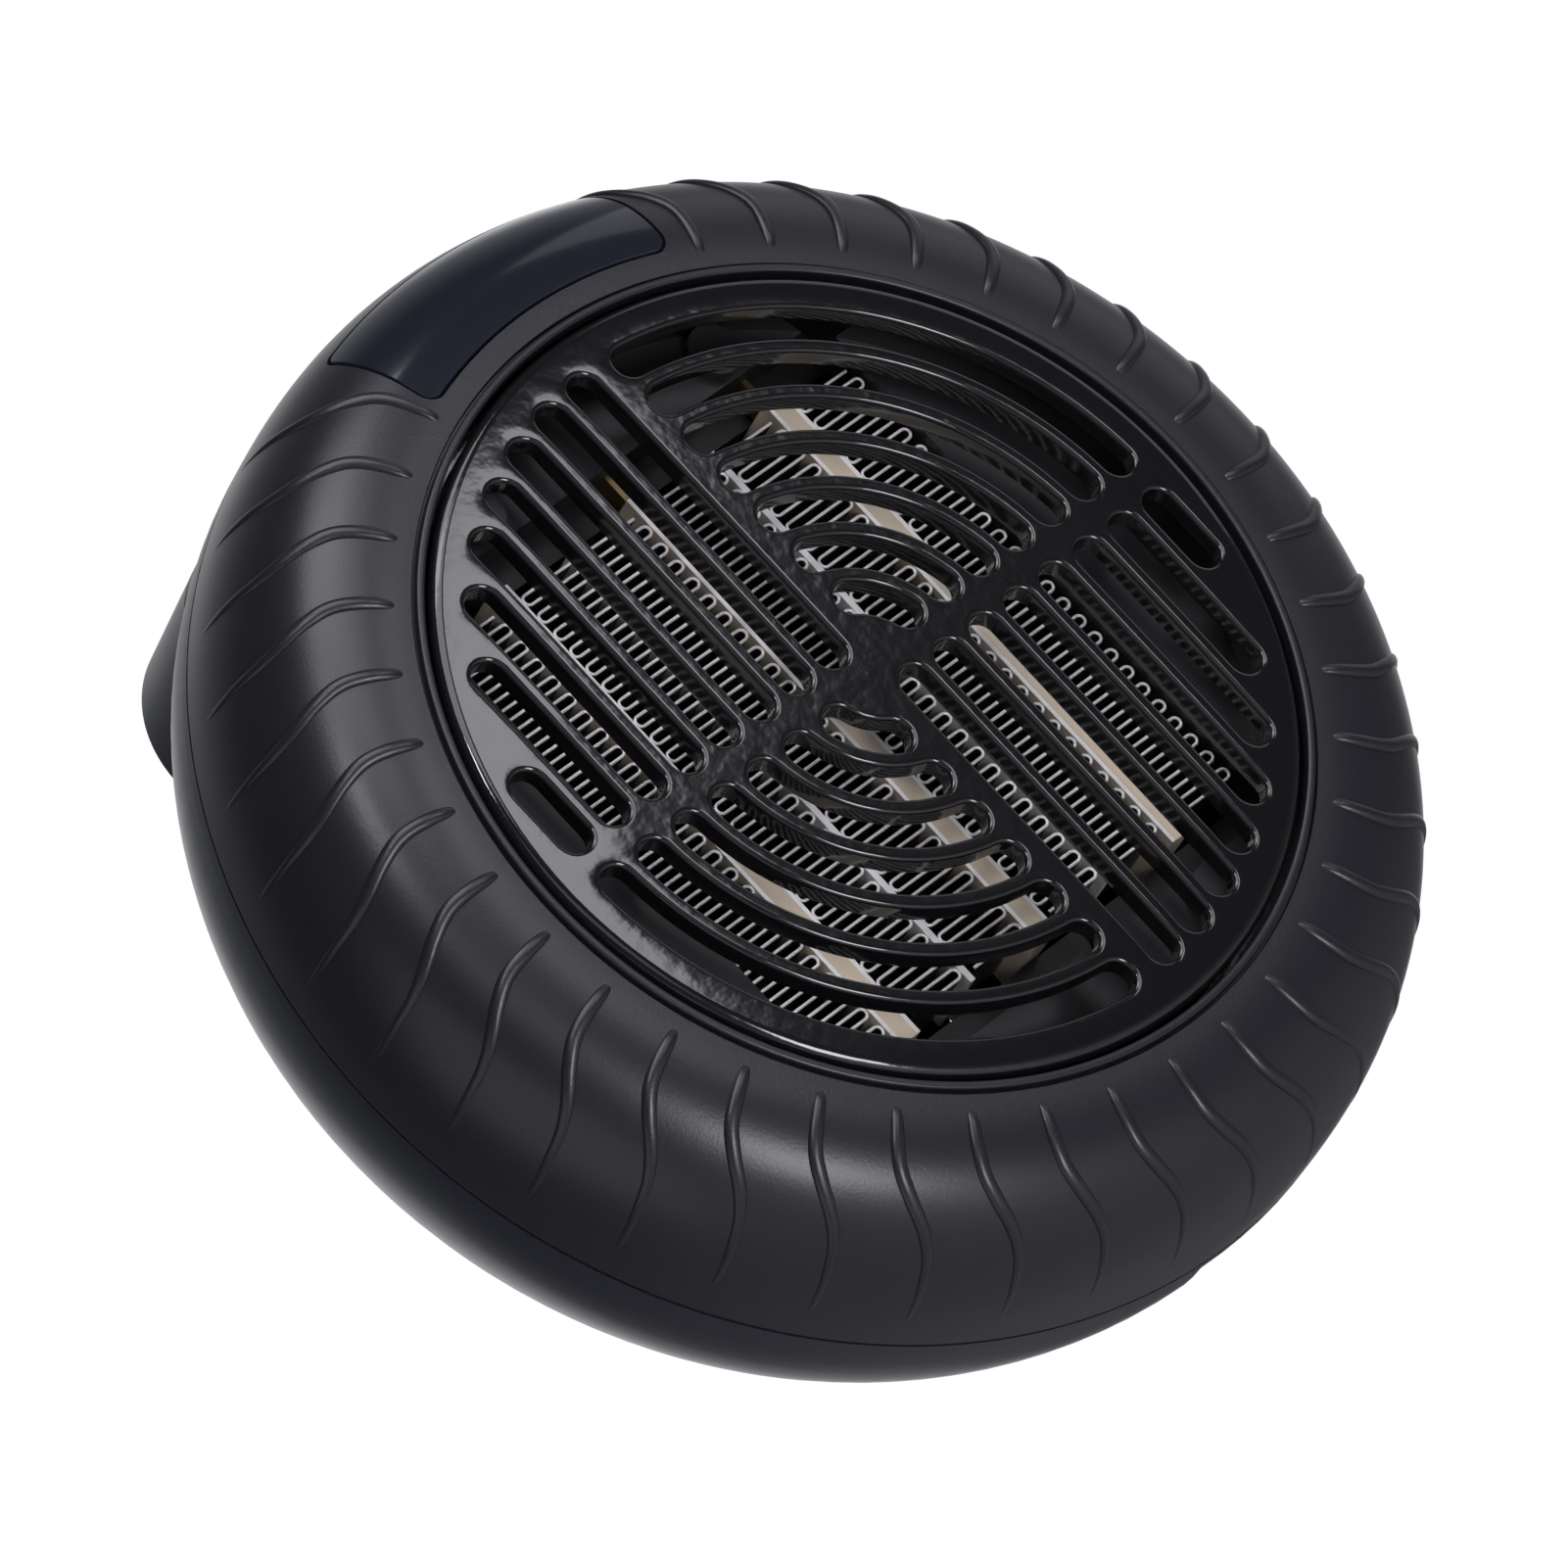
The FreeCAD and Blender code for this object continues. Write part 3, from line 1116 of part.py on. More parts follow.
def switch_body():
    bezel_outside = dim.switch_floor + dim.bezel_thickness
    shell = fused(
        switch_block(dim.bezel_width / 2, dim.bezel_length / 2, dim.switch_floor, bezel_outside),
        switch_block(dim.switch_width / 2, dim.switch_length / 2,
                     dim.switch_floor - dim.switch_height, dim.switch_floor),
    )
    hollow = switch_block(dim.switch_width / 2 - dim.switch_wall, dim.switch_length / 2 - dim.switch_wall,
                          bezel_outside - dim.cavity_height, bezel_outside + dim.overrun)
    reach = dim.switch_length / 2 + dim.overrun
    pivot = rod(dim.rocker_pin_radius + dim.shaft_gap, (dim.switch_depth - reach, dim.switch_depth + reach),
                dim.switch_offset, -pivot_level)
    piece("switch_body", cut(shell, hollow, pivot))


def power_rocker():
    """A shallow V that tips to one side on its own pivot."""
    length = 2 * rocker_half
    width = dim.switch_length - 2 * dim.switch_wall - 2 * dim.rocker_gap
    corners = [(0, 0), (length, 0), (length, dim.rocker_end_height), (rocker_half, dim.rocker_mid_height),
               (0, dim.rocker_end_height)]
    turn = FreeCAD.Rotation(FAN_AXIS, dim.rocker_tilt.value).multiply(BACKWARD)
    low = dim.rocker_mid_height / 2
    x = dim.switch_offset + low * sine(dim.rocker_tilt) - rocker_half * cosine(dim.rocker_tilt)
    z = low * cosine(dim.rocker_tilt) + rocker_half * sine(dim.rocker_tilt) - pivot_level
    cap = padded(corners, width, x, dim.switch_depth - width / 2, z, turn)
    reach = dim.switch_length / 2
    pivot = rod(dim.rocker_pin_radius, (dim.switch_depth - reach, dim.switch_depth + reach),
                dim.switch_offset, -pivot_level)
    piece("power_rocker", fused(cap, pivot))


# Control board

def control_board():
    level = dim.control_board_level
    top = level + dim.board_thickness
    board = box((-dim.control_board_half_width, dim.control_board_half_width),
                (dim.control_board_front, dim.control_board_back), (level, top))
    through = (level - dim.overrun, top + dim.overrun)
    holes = [post(dim.screw_hole, through, x, depth) for x, depth in board_posts]
    piece("control_board", cut(board, grouped(holes)))
    start = dim.control_board_front + dim.part_margin
    relay_half = dim.relay_width / 2
    piece("relay", box((-dim.relay_offset - relay_half, -dim.relay_offset + relay_half),
                       (start, start + dim.relay_length), (top, top + dim.relay_height)))
    film_half = dim.film_width / 2
    piece("film_capacitor", box((dim.film_offset - film_half, dim.film_offset + film_half),
                                (start, start + dim.film_length), (top, top + dim.film_height)))
    can = rod(dim.can_radius, (start, start + dim.can_length), dim.can_offset, top + dim.can_radius)
    piece("filter_capacitor", can)
    buzzer = post(dim.buzzer_radius, (top, top + dim.buzzer_height), dim.buzzer_offset, dim.buzzer_depth)
    piece("buzzer", buzzer)
    screws = []
    for x, depth in board_posts:
        head = post(dim.screw_head_radius, (top, top + dim.screw_head_height), x, depth)
        screws.append(fused(head, post(dim.screw_radius, (level - dim.short_bite, top), x, depth)))
    piece("board_screws", grouped(screws))


front_shell()
display_panel()
display_parts()
front_grille()
heating_block()
heater_frame()
heat_guards()
fan_housing()
fan_motor()
fan_impeller()
rear_shell()
plug()
switch_body()
power_rocker()
control_board()

# Nothing is written until every step and every solid is sound
doc.recompute()
for thing in doc.Objects:
    if "Invalid" in thing.State or "Error" in thing.State:
        raise RuntimeError(f"{thing.Name} ({thing.Label}) failed: {thing.State}")
for thing in pieces:
    if thing.Shape.isNull() or not thing.Shape.isValid() or not thing.Shape.Solids:
        raise RuntimeError(f"{thing.Label} has no sound solid")
os.makedirs("parts", exist_ok=True)
for thing in pieces:
    thing.Shape.exportStep(f"parts/{thing.Label}.step")
    print(thing.Label, len(thing.Shape.Solids), round(thing.Shape.Volume))
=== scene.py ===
import json
import math

import bmesh
import bpy
from mathutils import Matrix, Vector
from mathutils.geometry import delaunay_2d_cdt


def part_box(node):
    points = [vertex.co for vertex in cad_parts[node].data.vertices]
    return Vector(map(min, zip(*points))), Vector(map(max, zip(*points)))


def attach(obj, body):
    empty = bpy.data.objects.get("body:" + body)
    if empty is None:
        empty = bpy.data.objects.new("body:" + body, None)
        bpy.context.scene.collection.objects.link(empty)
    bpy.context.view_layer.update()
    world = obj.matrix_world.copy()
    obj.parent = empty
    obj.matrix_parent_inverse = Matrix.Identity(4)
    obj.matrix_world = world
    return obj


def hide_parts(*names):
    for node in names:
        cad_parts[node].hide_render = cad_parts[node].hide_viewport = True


# A round plug-in heater, dressed over its solid model.
# Lengths are in millimetres, as in the solid model, and MM turns them into metres.
# Places are given from the body's axis, with depths counted back from the face of the grille.
# Angles are in degrees round the axis, from the right and up over the top.

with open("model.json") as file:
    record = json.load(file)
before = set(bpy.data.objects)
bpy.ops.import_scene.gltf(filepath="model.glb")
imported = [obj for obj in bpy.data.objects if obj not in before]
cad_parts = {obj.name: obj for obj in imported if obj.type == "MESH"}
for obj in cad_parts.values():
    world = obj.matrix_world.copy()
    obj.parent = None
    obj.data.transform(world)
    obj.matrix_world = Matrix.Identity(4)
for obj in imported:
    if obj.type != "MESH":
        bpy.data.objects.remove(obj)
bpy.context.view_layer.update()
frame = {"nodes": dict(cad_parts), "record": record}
MM = 0.001
PLUG_REACH = 93.8
PLUG_RISE = 57.0

# Nets of faces
CURVE_STEP = 0.25
CORNER_LEAST_STEPS = 3
BEND_STEPS = 8
JOIN_GAP = 0.001
NET_GAP = 1e-6
NET_INSIDE_LOOPS = 1
TURNED_SHARP = 50.0

# Finishes
COAT_ROUGHNESS = 0.03
CLOUD_SCALE = 60.0
CLOUD_DETAIL = 4.0
GRAIN_DETAIL = 2.0
GRAIN_DEPTH = 0.05

# Rim
RIM_INNER_RADIUS = 52.0
RIM_FRONT = 1.2
RIM_RADIUS = 70.0
RIM_SHOULDER = 23.26
RIM_EXPONENT = 2.53
RIM_SAMPLES = 240
RIM_INSIDE_EVERY = 6
RIM_ROW_STEP = 0.7
RIM_COLUMNS = 360
SLOPE_STEP = 0.4
SEAM_DEPTH = 24.6
SEAM_GAP = 0.25
SEAM_ROUND = 0.35
SHELL_WALL = 2.0
COLLAR_RADIUS = 50.6
COLLAR_END = 7.6
BEAD_RADIUS = 51.55
BEAD_FRONT = 0.6
BEAD_ROUND = 0.35
CREASE_DEPTH = 1.8
CREASE_INSET = 0.15
LIP_INSET = 0.12
LIP_DROP = 0.1

# S-shaped ribs on the rim
# The swing pairs runs with angles, and the swell pairs shares of the length with shares of the height.
RIB_STEP = 9.0
RIB_FIRST = 2.8
RIB_COUNT = 40
RIB_GAP = (70.0, 106.0)
RIB_RUN = (1.8, 30.5)
RIB_SWING = ((0.0, 0.0), (1.9, 0.0), (6.0, 0.1), (9.0, 0.6), (12.0, 2.0), (14.0, 3.1),
             (16.0, 4.0), (18.5, 4.7), (22.0, 5.1), (25.0, 5.3), (30.0, 5.4))
RIB_HALF_WIDTH = 0.85
RIB_HEIGHT = 0.62
RIB_SINK = 0.06
RIB_STATIONS = 56
RIB_SWELL_SHARES = ((0.0, 0.0), (0.02, 0.5), (0.06, 0.8), (0.14, 0.95), (0.3, 1.0),
                    (0.45, 0.85), (0.6, 0.6), (0.85, 0.25), (1.0, 0.0))
RIB_SECTION_SHARES = (-1.0, -0.97, -0.88, -0.7, -0.4, 0.0, 0.4, 0.7, 0.88, 0.97, 1.0)
RIB_CREST_POWER = 0.5
RIB_LEAST_SHARE = 0.3

# Display panel let into the top of the rim, and the patch of the rim round it
# Its halves are angles, and the spread is about how many millimetres a degree takes up there.
PANEL_MIDDLE = 89.3
PANEL_INNER_HALF = 20.0
PANEL_OUTER_HALF = 17.2
PANEL_RUN = (3.1, 19.0)
PANEL_CORNER = 1.8
PANEL_GAP = 0.32
PANEL_EDGE = 0.18
PANEL_WALL = 1.6
PANEL_SPREAD = 1.1
PATCH_HALF = 30.0
PATCH_RUN = (1.0, 22.0)
PATCH_CLEAR_SHARE = 0.5

# Grille
GRILLE_RADIUS = 50.0
GRILLE_THICKNESS = 2.6
GRILLE_ROUND = 0.5
GRILLE_EDGE_ROUND = 1.2
GRILLE_ROUND_STEPS = 4
GRILLE_LAND = 0.15
GRILLE_CROWN_START = 38.0
GRILLE_CROWN = 0.55
GRILLE_DISH = 0.15
GRILLE_DISH_REACH = 1.7
GRILLE_FILL_STEP = 0.8
GRILLE_CLEAR_SHARE = 1 / 3
GRILLE_FINE_START = 40.0
GRILLE_SHARP = 40.0
GRILLE_SKIRT = 1.8
GRILLE_FLANGE = 3.0
FLANGE_THICKNESS = 1.6
SLOT_STEP = 1.2
SLOT_CAP_STEPS = 14
SLOT_COUNT = 8
SLOT_PITCH = 5.82
SLOT_WIDTH = 4.05
SLOT_REACH = 45.6
SLOT_LEVEL_BAND = 2.1
ARC_UPRIGHT_BAND = 2.2
ARC_LEVEL_BAND = 0.9
ARC_LEAST_STEPS = 4

# Folded fins and the heating bars between them
FIN_ROW_COUNT = 6
FIN_THICKNESS = 0.37
FIN_PITCH = 2.6
FIN_TURN_STEPS = 8
FIN_ROUND_SHARE = 0.7
FIN_SHARP = 70.0
BAR_COUNT = 3
BAR_EDGE = 0.5
BAR_EDGE_RISE = 0.06
BOX_FACES = ((0, 1, 3, 2), (4, 6, 7, 5), (0, 4, 5, 1), (2, 3, 7, 6), (0, 2, 6, 4), (1, 5, 7, 3))

# Camera, by its place from the body's axis and its three directions, with its near and far limits in metres
CAMERA_PLACE = (-771.484, -1060.842, -230.897)
CAMERA_RIGHT = Vector((0.66545681, -0.32901197, -0.6700137))
CAMERA_UP = Vector((0.48213821, -0.49578508, 0.72231565))
CAMERA_BACK = Vector((-0.56983329, -0.80370907, -0.17129432))
CAMERA_LENS = 283.242
CAMERA_SENSOR = 36.0
CAMERA_NEAR = 0.1
CAMERA_FAR = 60.0

# Floor, in metres
FLOOR_LEVEL = -1.0
FLOOR_HALF = 15.0
FLOOR_GLOW = 0.7
FLOOR_COLOUR = (0.8, 0.8, 0.8)
FLOOR_ROUGHNESS = 0.6

# Backdrop and room, their edges measured from -1, straight behind the object, to 1, at the camera
BACKDROP_EDGES = (-1.0, -0.35)
SHEEN_EDGES = (-1.0, -0.8)
BACKDROP_LIGHT = 0.5
ROOM_LIGHT = 0.05
ROOM_TINT = (0.88, 0.91, 1, 1)
WHITE = (1, 1, 1, 1)

# Lamps by their direction as the camera sees it, then distance, width and height in metres, and power
LAMP_AIM_DEPTH = 24.0
LAMP_TINT = (0.95, 0.94, 1.0)
LAMPS = {
    "key": ((-0.17, 0.845, 0.538), 1.6, 1.2, 0.82, 9.2),
    "glint": ((0.42, 0.78, 0.46), 1.6, 0.28, 0.6, 2.4),
    "low_left": ((-0.52, -0.6, 0.58), 1.5, 1.4, 1.2, 3.3),
    "high_left": ((-0.3, 0.92, 0.25), 1.6, 0.8, 0.6, 5),
    "hard_key": ((-0.35, 0.55, 0.75), 1.8, 0.25, 0.25, 4.2),
    "side": ((0.44, -0.05, 0.87), 1.6, 0.5, 0.6, 13),
    "front": ((-0.05, 0.28, 0.95), 1.6, 0.9, 0.5, 1.2),
    "top_rear": ((0.38, 0.86, -0.34), 1.6, 1.2, 0.9, 1.9),
    "rear": ((-0.2, -0.3, -0.93), 1.8, 1.2, 1.2, 2.5),
}


# Places and tables

def at(x, depth, z):
    return Vector((x, depth - PLUG_REACH, z - PLUG_RISE)) * MM


def ring_at(radius, depth, angle):
    turn = math.radians(angle)
    return at(radius * math.cos(turn), depth, radius * math.sin(turn))


def blend_of(table, place):
    """The value that a table of pairs gives at a place, evenly between its rows."""
    for (low, low_value), (high, high_value) in zip(table, table[1:]):
        if place <= high:
            share = min(max((place - low) / (high - low), 0), 1)
            return low_value + (high_value - low_value) * share
    return table[-1][1]


def curve_of(table, place):
    """The value at a place on a smooth curve through the rows of a table."""
    rows = [table[0], *table, table[-1]]
    for before, low, high, after in zip(rows, rows[1:], rows[2:], rows[3:]):
        if place <= high[0]:
            break
    span, rise = high[0] - low[0], high[1] - low[1]
    share = min(max((place - low[0]) / span, 0), 1)
    begin = (high[1] - before[1]) / (high[0] - before[0]) * span
    end = (after[1] - low[1]) / (after[0] - low[0]) * span
    return low[1] + share * (begin + share * (3 * rise - 2 * begin - end + share * (begin + end - 2 * rise)))


# Pieces

def dress(shape, material, smooth=True):
    shape.data.materials.clear()
    shape.data.materials.append(material)
    if smooth:
        shape.data.shade_smooth()


def mesh_piece(name, verts, faces, material, smooth=True):
    """A new piece of the housing."""
    mesh = bpy.data.meshes.new(name)
    mesh.from_pydata([tuple(v) for v in verts], [], faces)
    mesh.update()
    shape = bpy.data.objects.new(name, mesh)
    bpy.context.scene.collection.objects.link(shape)
    dress(shape, material, smooth)
    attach(shape, "housing")
    return shape


def joined(shape):
    """Join the points that fall together and turn all faces outward."""
    net = bmesh.new()
    net.from_mesh(shape.data)
    bmesh.ops.remove_doubles(net, verts=net.verts, dist=JOIN_GAP * MM)
    bmesh.ops.recalc_face_normals(net, faces=net.faces)
    net.to_mesh(shape.data)
    net.free()


def sharpened(shape, angle):
    """Keep the edges sharp where faces meet at more than an angle."""
    shape.data.set_sharp_from_angle(angle=math.radians(angle))


def ring_faces(low, high, count):
    """The faces between two closed rows of points, given the numbers of their first points."""
    faces = []
    for here in range(count):
        after = (here + 1) % count
        faces.append((low + here, low + after, high + after, high + here))
    return faces


def shifted(faces, first):
    """Faces whose points are counted on from a first one."""
    return [tuple(first + corner for corner in face) for face in faces]


# Materials

def set_sockets(tree, node, sockets):
    """Give each socket of a shader node a value, or link it to the output of another node."""
    for socket, value in sockets.items():
        if isinstance(value, bpy.types.NodeSocket):
            tree.links.new(value, node.inputs[socket])
        else:
            node.inputs[socket].default_value = value


def new_node(tree, kind, sockets=None, operation=None):
    node = tree.nodes.new(kind)
    if operation:
        node.operation = operation
    set_sockets(tree, node, sockets or {})
    return node


def finish_of(name, colour, roughness, metallic=0.0, coat=0.0, spread=0.0, grain=0.0, grain_size=0.4):
    """A plain finish, with an uneven gloss and a fine grain in its height where they are asked for."""
    material = bpy.data.materials.new(name)
    material.use_nodes = True
    tree = material.node_tree
    shader = tree.nodes["Principled BSDF"]
    set_sockets(tree, shader, {
        "Base Color": (*colour, 1),
        "Roughness": roughness,
        "Metallic": metallic,
        "Coat Weight": coat,
        "Coat Roughness": COAT_ROUGHNESS,
    })
    place = new_node(tree, "ShaderNodeTexCoord").outputs["Object"]
    if spread:
        cloud = new_node(tree, "ShaderNodeTexNoise", {
            "Vector": place,
            "Scale": CLOUD_SCALE,
            "Detail": CLOUD_DETAIL,
        })
        ranged = new_node(tree, "ShaderNodeMapRange", {
            "Value": cloud.outputs["Fac"],
            "To Min": roughness - spread,
            "To Max": roughness + spread,
        })
        set_sockets(tree, shader, {"Roughness": ranged.outputs["Result"]})
    if grain:
        noise = new_node(tree, "ShaderNodeTexNoise", {
            "Vector": place,
            "Scale": 1 / (grain_size * MM),
            "Detail": GRAIN_DETAIL,
        })
        bump = new_node(tree, "ShaderNodeBump", {
            "Strength": grain,
            "Distance": GRAIN_DEPTH * MM,
            "Height": noise.outputs["Fac"],
        })
        set_sockets(tree, shader, {"Normal": bump.outputs["Normal"]})
    return material


FINISHES = {
    "shell_black": finish_of(
        "rim_plastic", (0.0125, 0.0118, 0.0158), 0.33, spread=0.03, grain=0.3, grain_size=0.35),
    "shell_satin": finish_of(
        "satin_plastic", (0.0135, 0.0142, 0.0212), 0.36, spread=0.03, grain=0.1, grain_size=0.5),
    "grille_gloss": finish_of(
        "gloss_plastic", (0.0062, 0.0058, 0.0066), 0.12, coat=0.3, spread=0.02, grain=0.7, grain_size=2.0),
    "panel_gloss": finish_of("panel_plastic", (0.0105, 0.0125, 0.0195), 0.16, coat=0.3),
    "frame_black": finish_of("frame_plastic", (0.016, 0.016, 0.0175), 0.42, spread=0.05, grain=0.2),
    "fin_aluminium": finish_of("fin_sheet", (0.97, 0.96, 0.94), 0.38, metallic=0.3, spread=0.05),
    "bar_tan": finish_of("bar_film", (0.71, 0.6, 0.46), 0.45, spread=0.05, grain=0.3),
    "strip_bright": finish_of("strip_sheet", (0.95, 0.94, 0.93), 0.4, metallic=0.3),
    "brass": finish_of("brass_sheet", (0.34, 0.25, 0.12), 0.45, metallic=1.0),
    "pin_nickel": finish_of("pin_nickel", (0.75, 0.73, 0.68), 0.22, metallic=1.0, spread=0.04),
    "steel": finish_of("zinc_steel", (0.55, 0.56, 0.58), 0.35, metallic=1.0, spread=0.05),
    "fan_plastic": finish_of("fan_plastic", (0.02, 0.02, 0.022), 0.4, grain=0.1),
    "board_green": finish_of("board_green", (0.02, 0.1, 0.04), 0.4),
    "part_dark": finish_of("case_dark", (0.02, 0.02, 0.022), 0.3),
    "part_blue": finish_of("case_blue", (0.03, 0.09, 0.35), 0.3),
    "part_white": finish_of("case_white", (0.7, 0.69, 0.66), 0.35),
    "switch_black": finish_of("switch_plastic", (0.006, 0.006, 0.007), 0.15),
}
# The darker finish of the fins' walls and backs is painted shade, standing in for the shade inside the folds
FIN_WALL_PAINTED_SHADE = finish_of("fin_wall_painted_shade", (0.16, 0.15, 0.14), 0.4, metallic=1.0)
for part in frame["record"]["subparts"]:
    dress(frame["nodes"][part["node"]], FINISHES[part["material_slot"]])


# Rim as a surface of two measures: the angle round the axis and the run outward over its rounding

def rim_outline():
    """Points of the rim's rounding as run, radius and depth, from the inner edge to the seam."""
    power = 2 / RIM_EXPONENT
    points = []
    run = 0.0
    for number in range(RIM_SAMPLES + 1):
        turn = math.pi / 2 * number / RIM_SAMPLES
        radius = RIM_INNER_RADIUS + (RIM_RADIUS - RIM_INNER_RADIUS) * math.sin(turn) ** power
        depth = RIM_SHOULDER - (RIM_SHOULDER - RIM_FRONT) * max(math.cos(turn), 0) ** power
        if points:
            run += math.hypot(radius - points[-1][1], depth - points[-1][2])
        points.append((run, radius, depth))
    end = SEAM_DEPTH - SEAM_GAP - SEAM_ROUND
    points.append((run + end - points[-1][2], RIM_RADIUS, end))
    return points


RIM = rim_outline()
RIM_RADII = [(run, radius) for run, radius, depth in RIM]
RIM_DEPTHS = [(run, depth) for run, radius, depth in RIM]
RIM_RUN = RIM[-1][0]
RIM_ROW_COUNT = round(RIM_RUN / RIM_ROW_STEP)
RIM_ROWS = [RIM_RUN * number / RIM_ROW_COUNT for number in range(RIM_ROW_COUNT + 1)]
COLUMN_STEP = 360 / RIM_COLUMNS
PATCH_ROWS = [run for run in RIM_ROWS if PATCH_RUN[0] <= run <= PATCH_RUN[1]]
PATCH_COLUMNS = round(2 * PATCH_HALF / COLUMN_STEP)
PATCH_ANGLES = [number * COLUMN_STEP - PATCH_HALF for number in range(PATCH_COLUMNS + 1)]


def rim_place(run):
    return blend_of(RIM_RADII, run), blend_of(RIM_DEPTHS, run)


def rim_outward(run):
    """The outward direction of the rim at a run, as shares of radius and depth."""
    low_radius, low_depth = rim_place(max(run - SLOPE_STEP, 0))
    high_radius, high_depth = rim_place(min(run + SLOPE_STEP, RIM_RUN))
    along_radius, along_depth = high_radius - low_radius, high_depth - low_depth
    length = math.hypot(along_radius, along_depth)
    return along_depth / length, -along_radius / length


def rim_at(angle, run, lift=0.0):
    radius, depth = rim_place(run)
    out_radius, out_depth = rim_outward(run)
    return ring_at(radius + lift * out_radius, depth + lift * out_depth, angle)


def over_rim(points, lift=0.0):
    """Flat points, as angles from the panel's middle and runs, laid over the rim."""
    return [rim_at(PANEL_MIDDLE + point.x, point.y, lift) for point in points]


# Flat outlines and nets

def rounded(corners, radius, step):
    """A closed outline with its corners rounded, each corner a pair."""
    points = []
    for number, corner in enumerate(corners):
        here = Vector(corner)
        before = (Vector(corners[number - 1]) - here).normalized()
        after = (Vector(corners[(number + 1) % len(corners)]) - here).normalized()
        half = before.angle(after) / 2
        reach = radius / math.tan(half)
        centre = here + (before + after).normalized() * (radius / math.sin(half))
        begin = here + before * reach - centre
        sweep = math.pi - 2 * half
        way = -1 if before.cross(after) > 0 else 1
        count = max(int(radius * sweep / step), CORNER_LEAST_STEPS)
        for index in range(count + 1):
            turn = sweep * index / count * way
            points.append(centre + Matrix.Rotation(turn, 2) @ begin)
    return points


def along_line(points, step):
    """The closed outline with its long straight stretches cut up."""
    cut_up = []
    for here, after in zip(points, points[1:] + points[:1]):
        count = max(round((after - here).length / step), 1)
        cut_up += [here.lerp(after, index / count) for index in range(count)]
    return cut_up


def panel_outline(grow):
    """The outline of the display panel, as angles from its middle and runs, grown by a gap."""
    near, far = PANEL_RUN
    wide = PANEL_INNER_HALF * PANEL_SPREAD + grow
    slim = PANEL_OUTER_HALF * PANEL_SPREAD + grow
    corners = [(-wide, near - grow), (wide, near - grow), (slim, far + grow), (-slim, far + grow)]
    outline = along_line(rounded(corners, PANEL_CORNER + grow, CURVE_STEP), RIM_ROW_STEP)
    return [Vector((point.x / PANEL_SPREAD, point.y)) for point in outline]


def inside(point, outline):
    within = False
    for here, after in zip(outline, outline[1:] + outline[:1]):
        if (here.y > point.y) != (after.y > point.y):
            crossing = here.x + (point.y - here.y) / (after.y - here.y) * (after.x - here.x)
            within ^= point.x < crossing
    return within


def nearest(point, outline):
    return min((point - corner).length for corner in outline)


def patch_fill(outline, within):
    """The crossings of the patch's rows and columns inside or outside an outline, a little clear of it."""
    clear = RIM_ROW_STEP * PATCH_CLEAR_SHARE
    fill = []
    for angle in PATCH_ANGLES[1:-1]:
        for run in PATCH_ROWS[1:-1]:
            point = Vector((angle, run))
            if inside(point, outline) == within and nearest(point, outline) > clear:
                fill.append(point)
    return fill


def flat_net(loops, fill, keep):
    """A flat net over closed loops with loose points between them, as points and triangles."""
    points = []
    edges = []
    for loop in loops:
        first = len(points)
        points += loop
        edges += [(first + n, first + (n + 1) % len(loop)) for n in range(len(loop))]
    points += fill
    flat, _, triangles, _, _, _ = delaunay_2d_cdt(points, edges, [], NET_INSIDE_LOOPS, NET_GAP)
    kept = []
    for triangle in triangles:
        centre = sum((flat[corner] for corner in triangle), Vector((0, 0))) / len(triangle)
        if keep(centre):
            kept.append(tuple(triangle))
    return flat, kept


# Rim and display panel

def front_rim():
    """The rim, with the panel's opening cut into a patch of triangles, and the wall of the opening."""
    verts = []
    faces = []
    first_angle = PANEL_MIDDLE - PATCH_HALF
    for run in RIM_ROWS:
        verts += [rim_at(first_angle + number * COLUMN_STEP, run) for number in range(RIM_COLUMNS)]
    for row in range(RIM_ROW_COUNT):
        row_faces = ring_faces(row * RIM_COLUMNS, (row + 1) * RIM_COLUMNS, RIM_COLUMNS)
        in_patch = PATCH_ROWS[0] <= RIM_ROWS[row] < PATCH_ROWS[-1]
        faces += row_faces[PATCH_COLUMNS:] if in_patch else row_faces
    hole = panel_outline(PANEL_GAP)
    border = [Vector((angle, PATCH_ROWS[0])) for angle in PATCH_ANGLES[:-1]]
    border += [Vector((PATCH_ANGLES[-1], run)) for run in PATCH_ROWS[:-1]]
    border += [Vector((angle, PATCH_ROWS[-1])) for angle in PATCH_ANGLES[:0:-1]]
    border += [Vector((PATCH_ANGLES[0], run)) for run in PATCH_ROWS[:0:-1]]
    fill = patch_fill(hole, within=False)
    flat, triangles = flat_net([border, hole], fill, lambda centre: not inside(centre, hole))
    faces += shifted(triangles, len(verts))
    verts += over_rim(flat)
    shape = mesh_piece("front_rim", verts, faces, FINISHES["shell_black"])
    joined(shape)
    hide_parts("front_shell")
    count = len(hole)
    wall_verts = over_rim(hole) + over_rim(hole, -PANEL_WALL)
    mesh_piece("panel_recess_wall", wall_verts, ring_faces(0, count, count), FINISHES["shell_black"])


def turned_piece(name, profile, material):
    """A profile of radius and depth pairs turned about the body's axis."""
    verts = []
    faces = []
    for radius, depth in profile:
        verts += [ring_at(radius, depth, column * COLUMN_STEP) for column in range(RIM_COLUMNS)]
    for row in range(len(profile) - 1):
        faces += ring_faces(row * RIM_COLUMNS, (row + 1) * RIM_COLUMNS, RIM_COLUMNS)
    sharpened(mesh_piece(name, verts, faces, material), TURNED_SHARP)


def bend(centre, radius, first, last):
    """Points on an arc in the plane of radius and depth."""
    points = []
    for number in range(BEND_STEPS + 1):
        turn = math.radians(first + (last - first) * number / BEND_STEPS)
        points.append((centre[0] + radius * math.cos(turn), centre[1] - radius * math.sin(turn)))
    return points


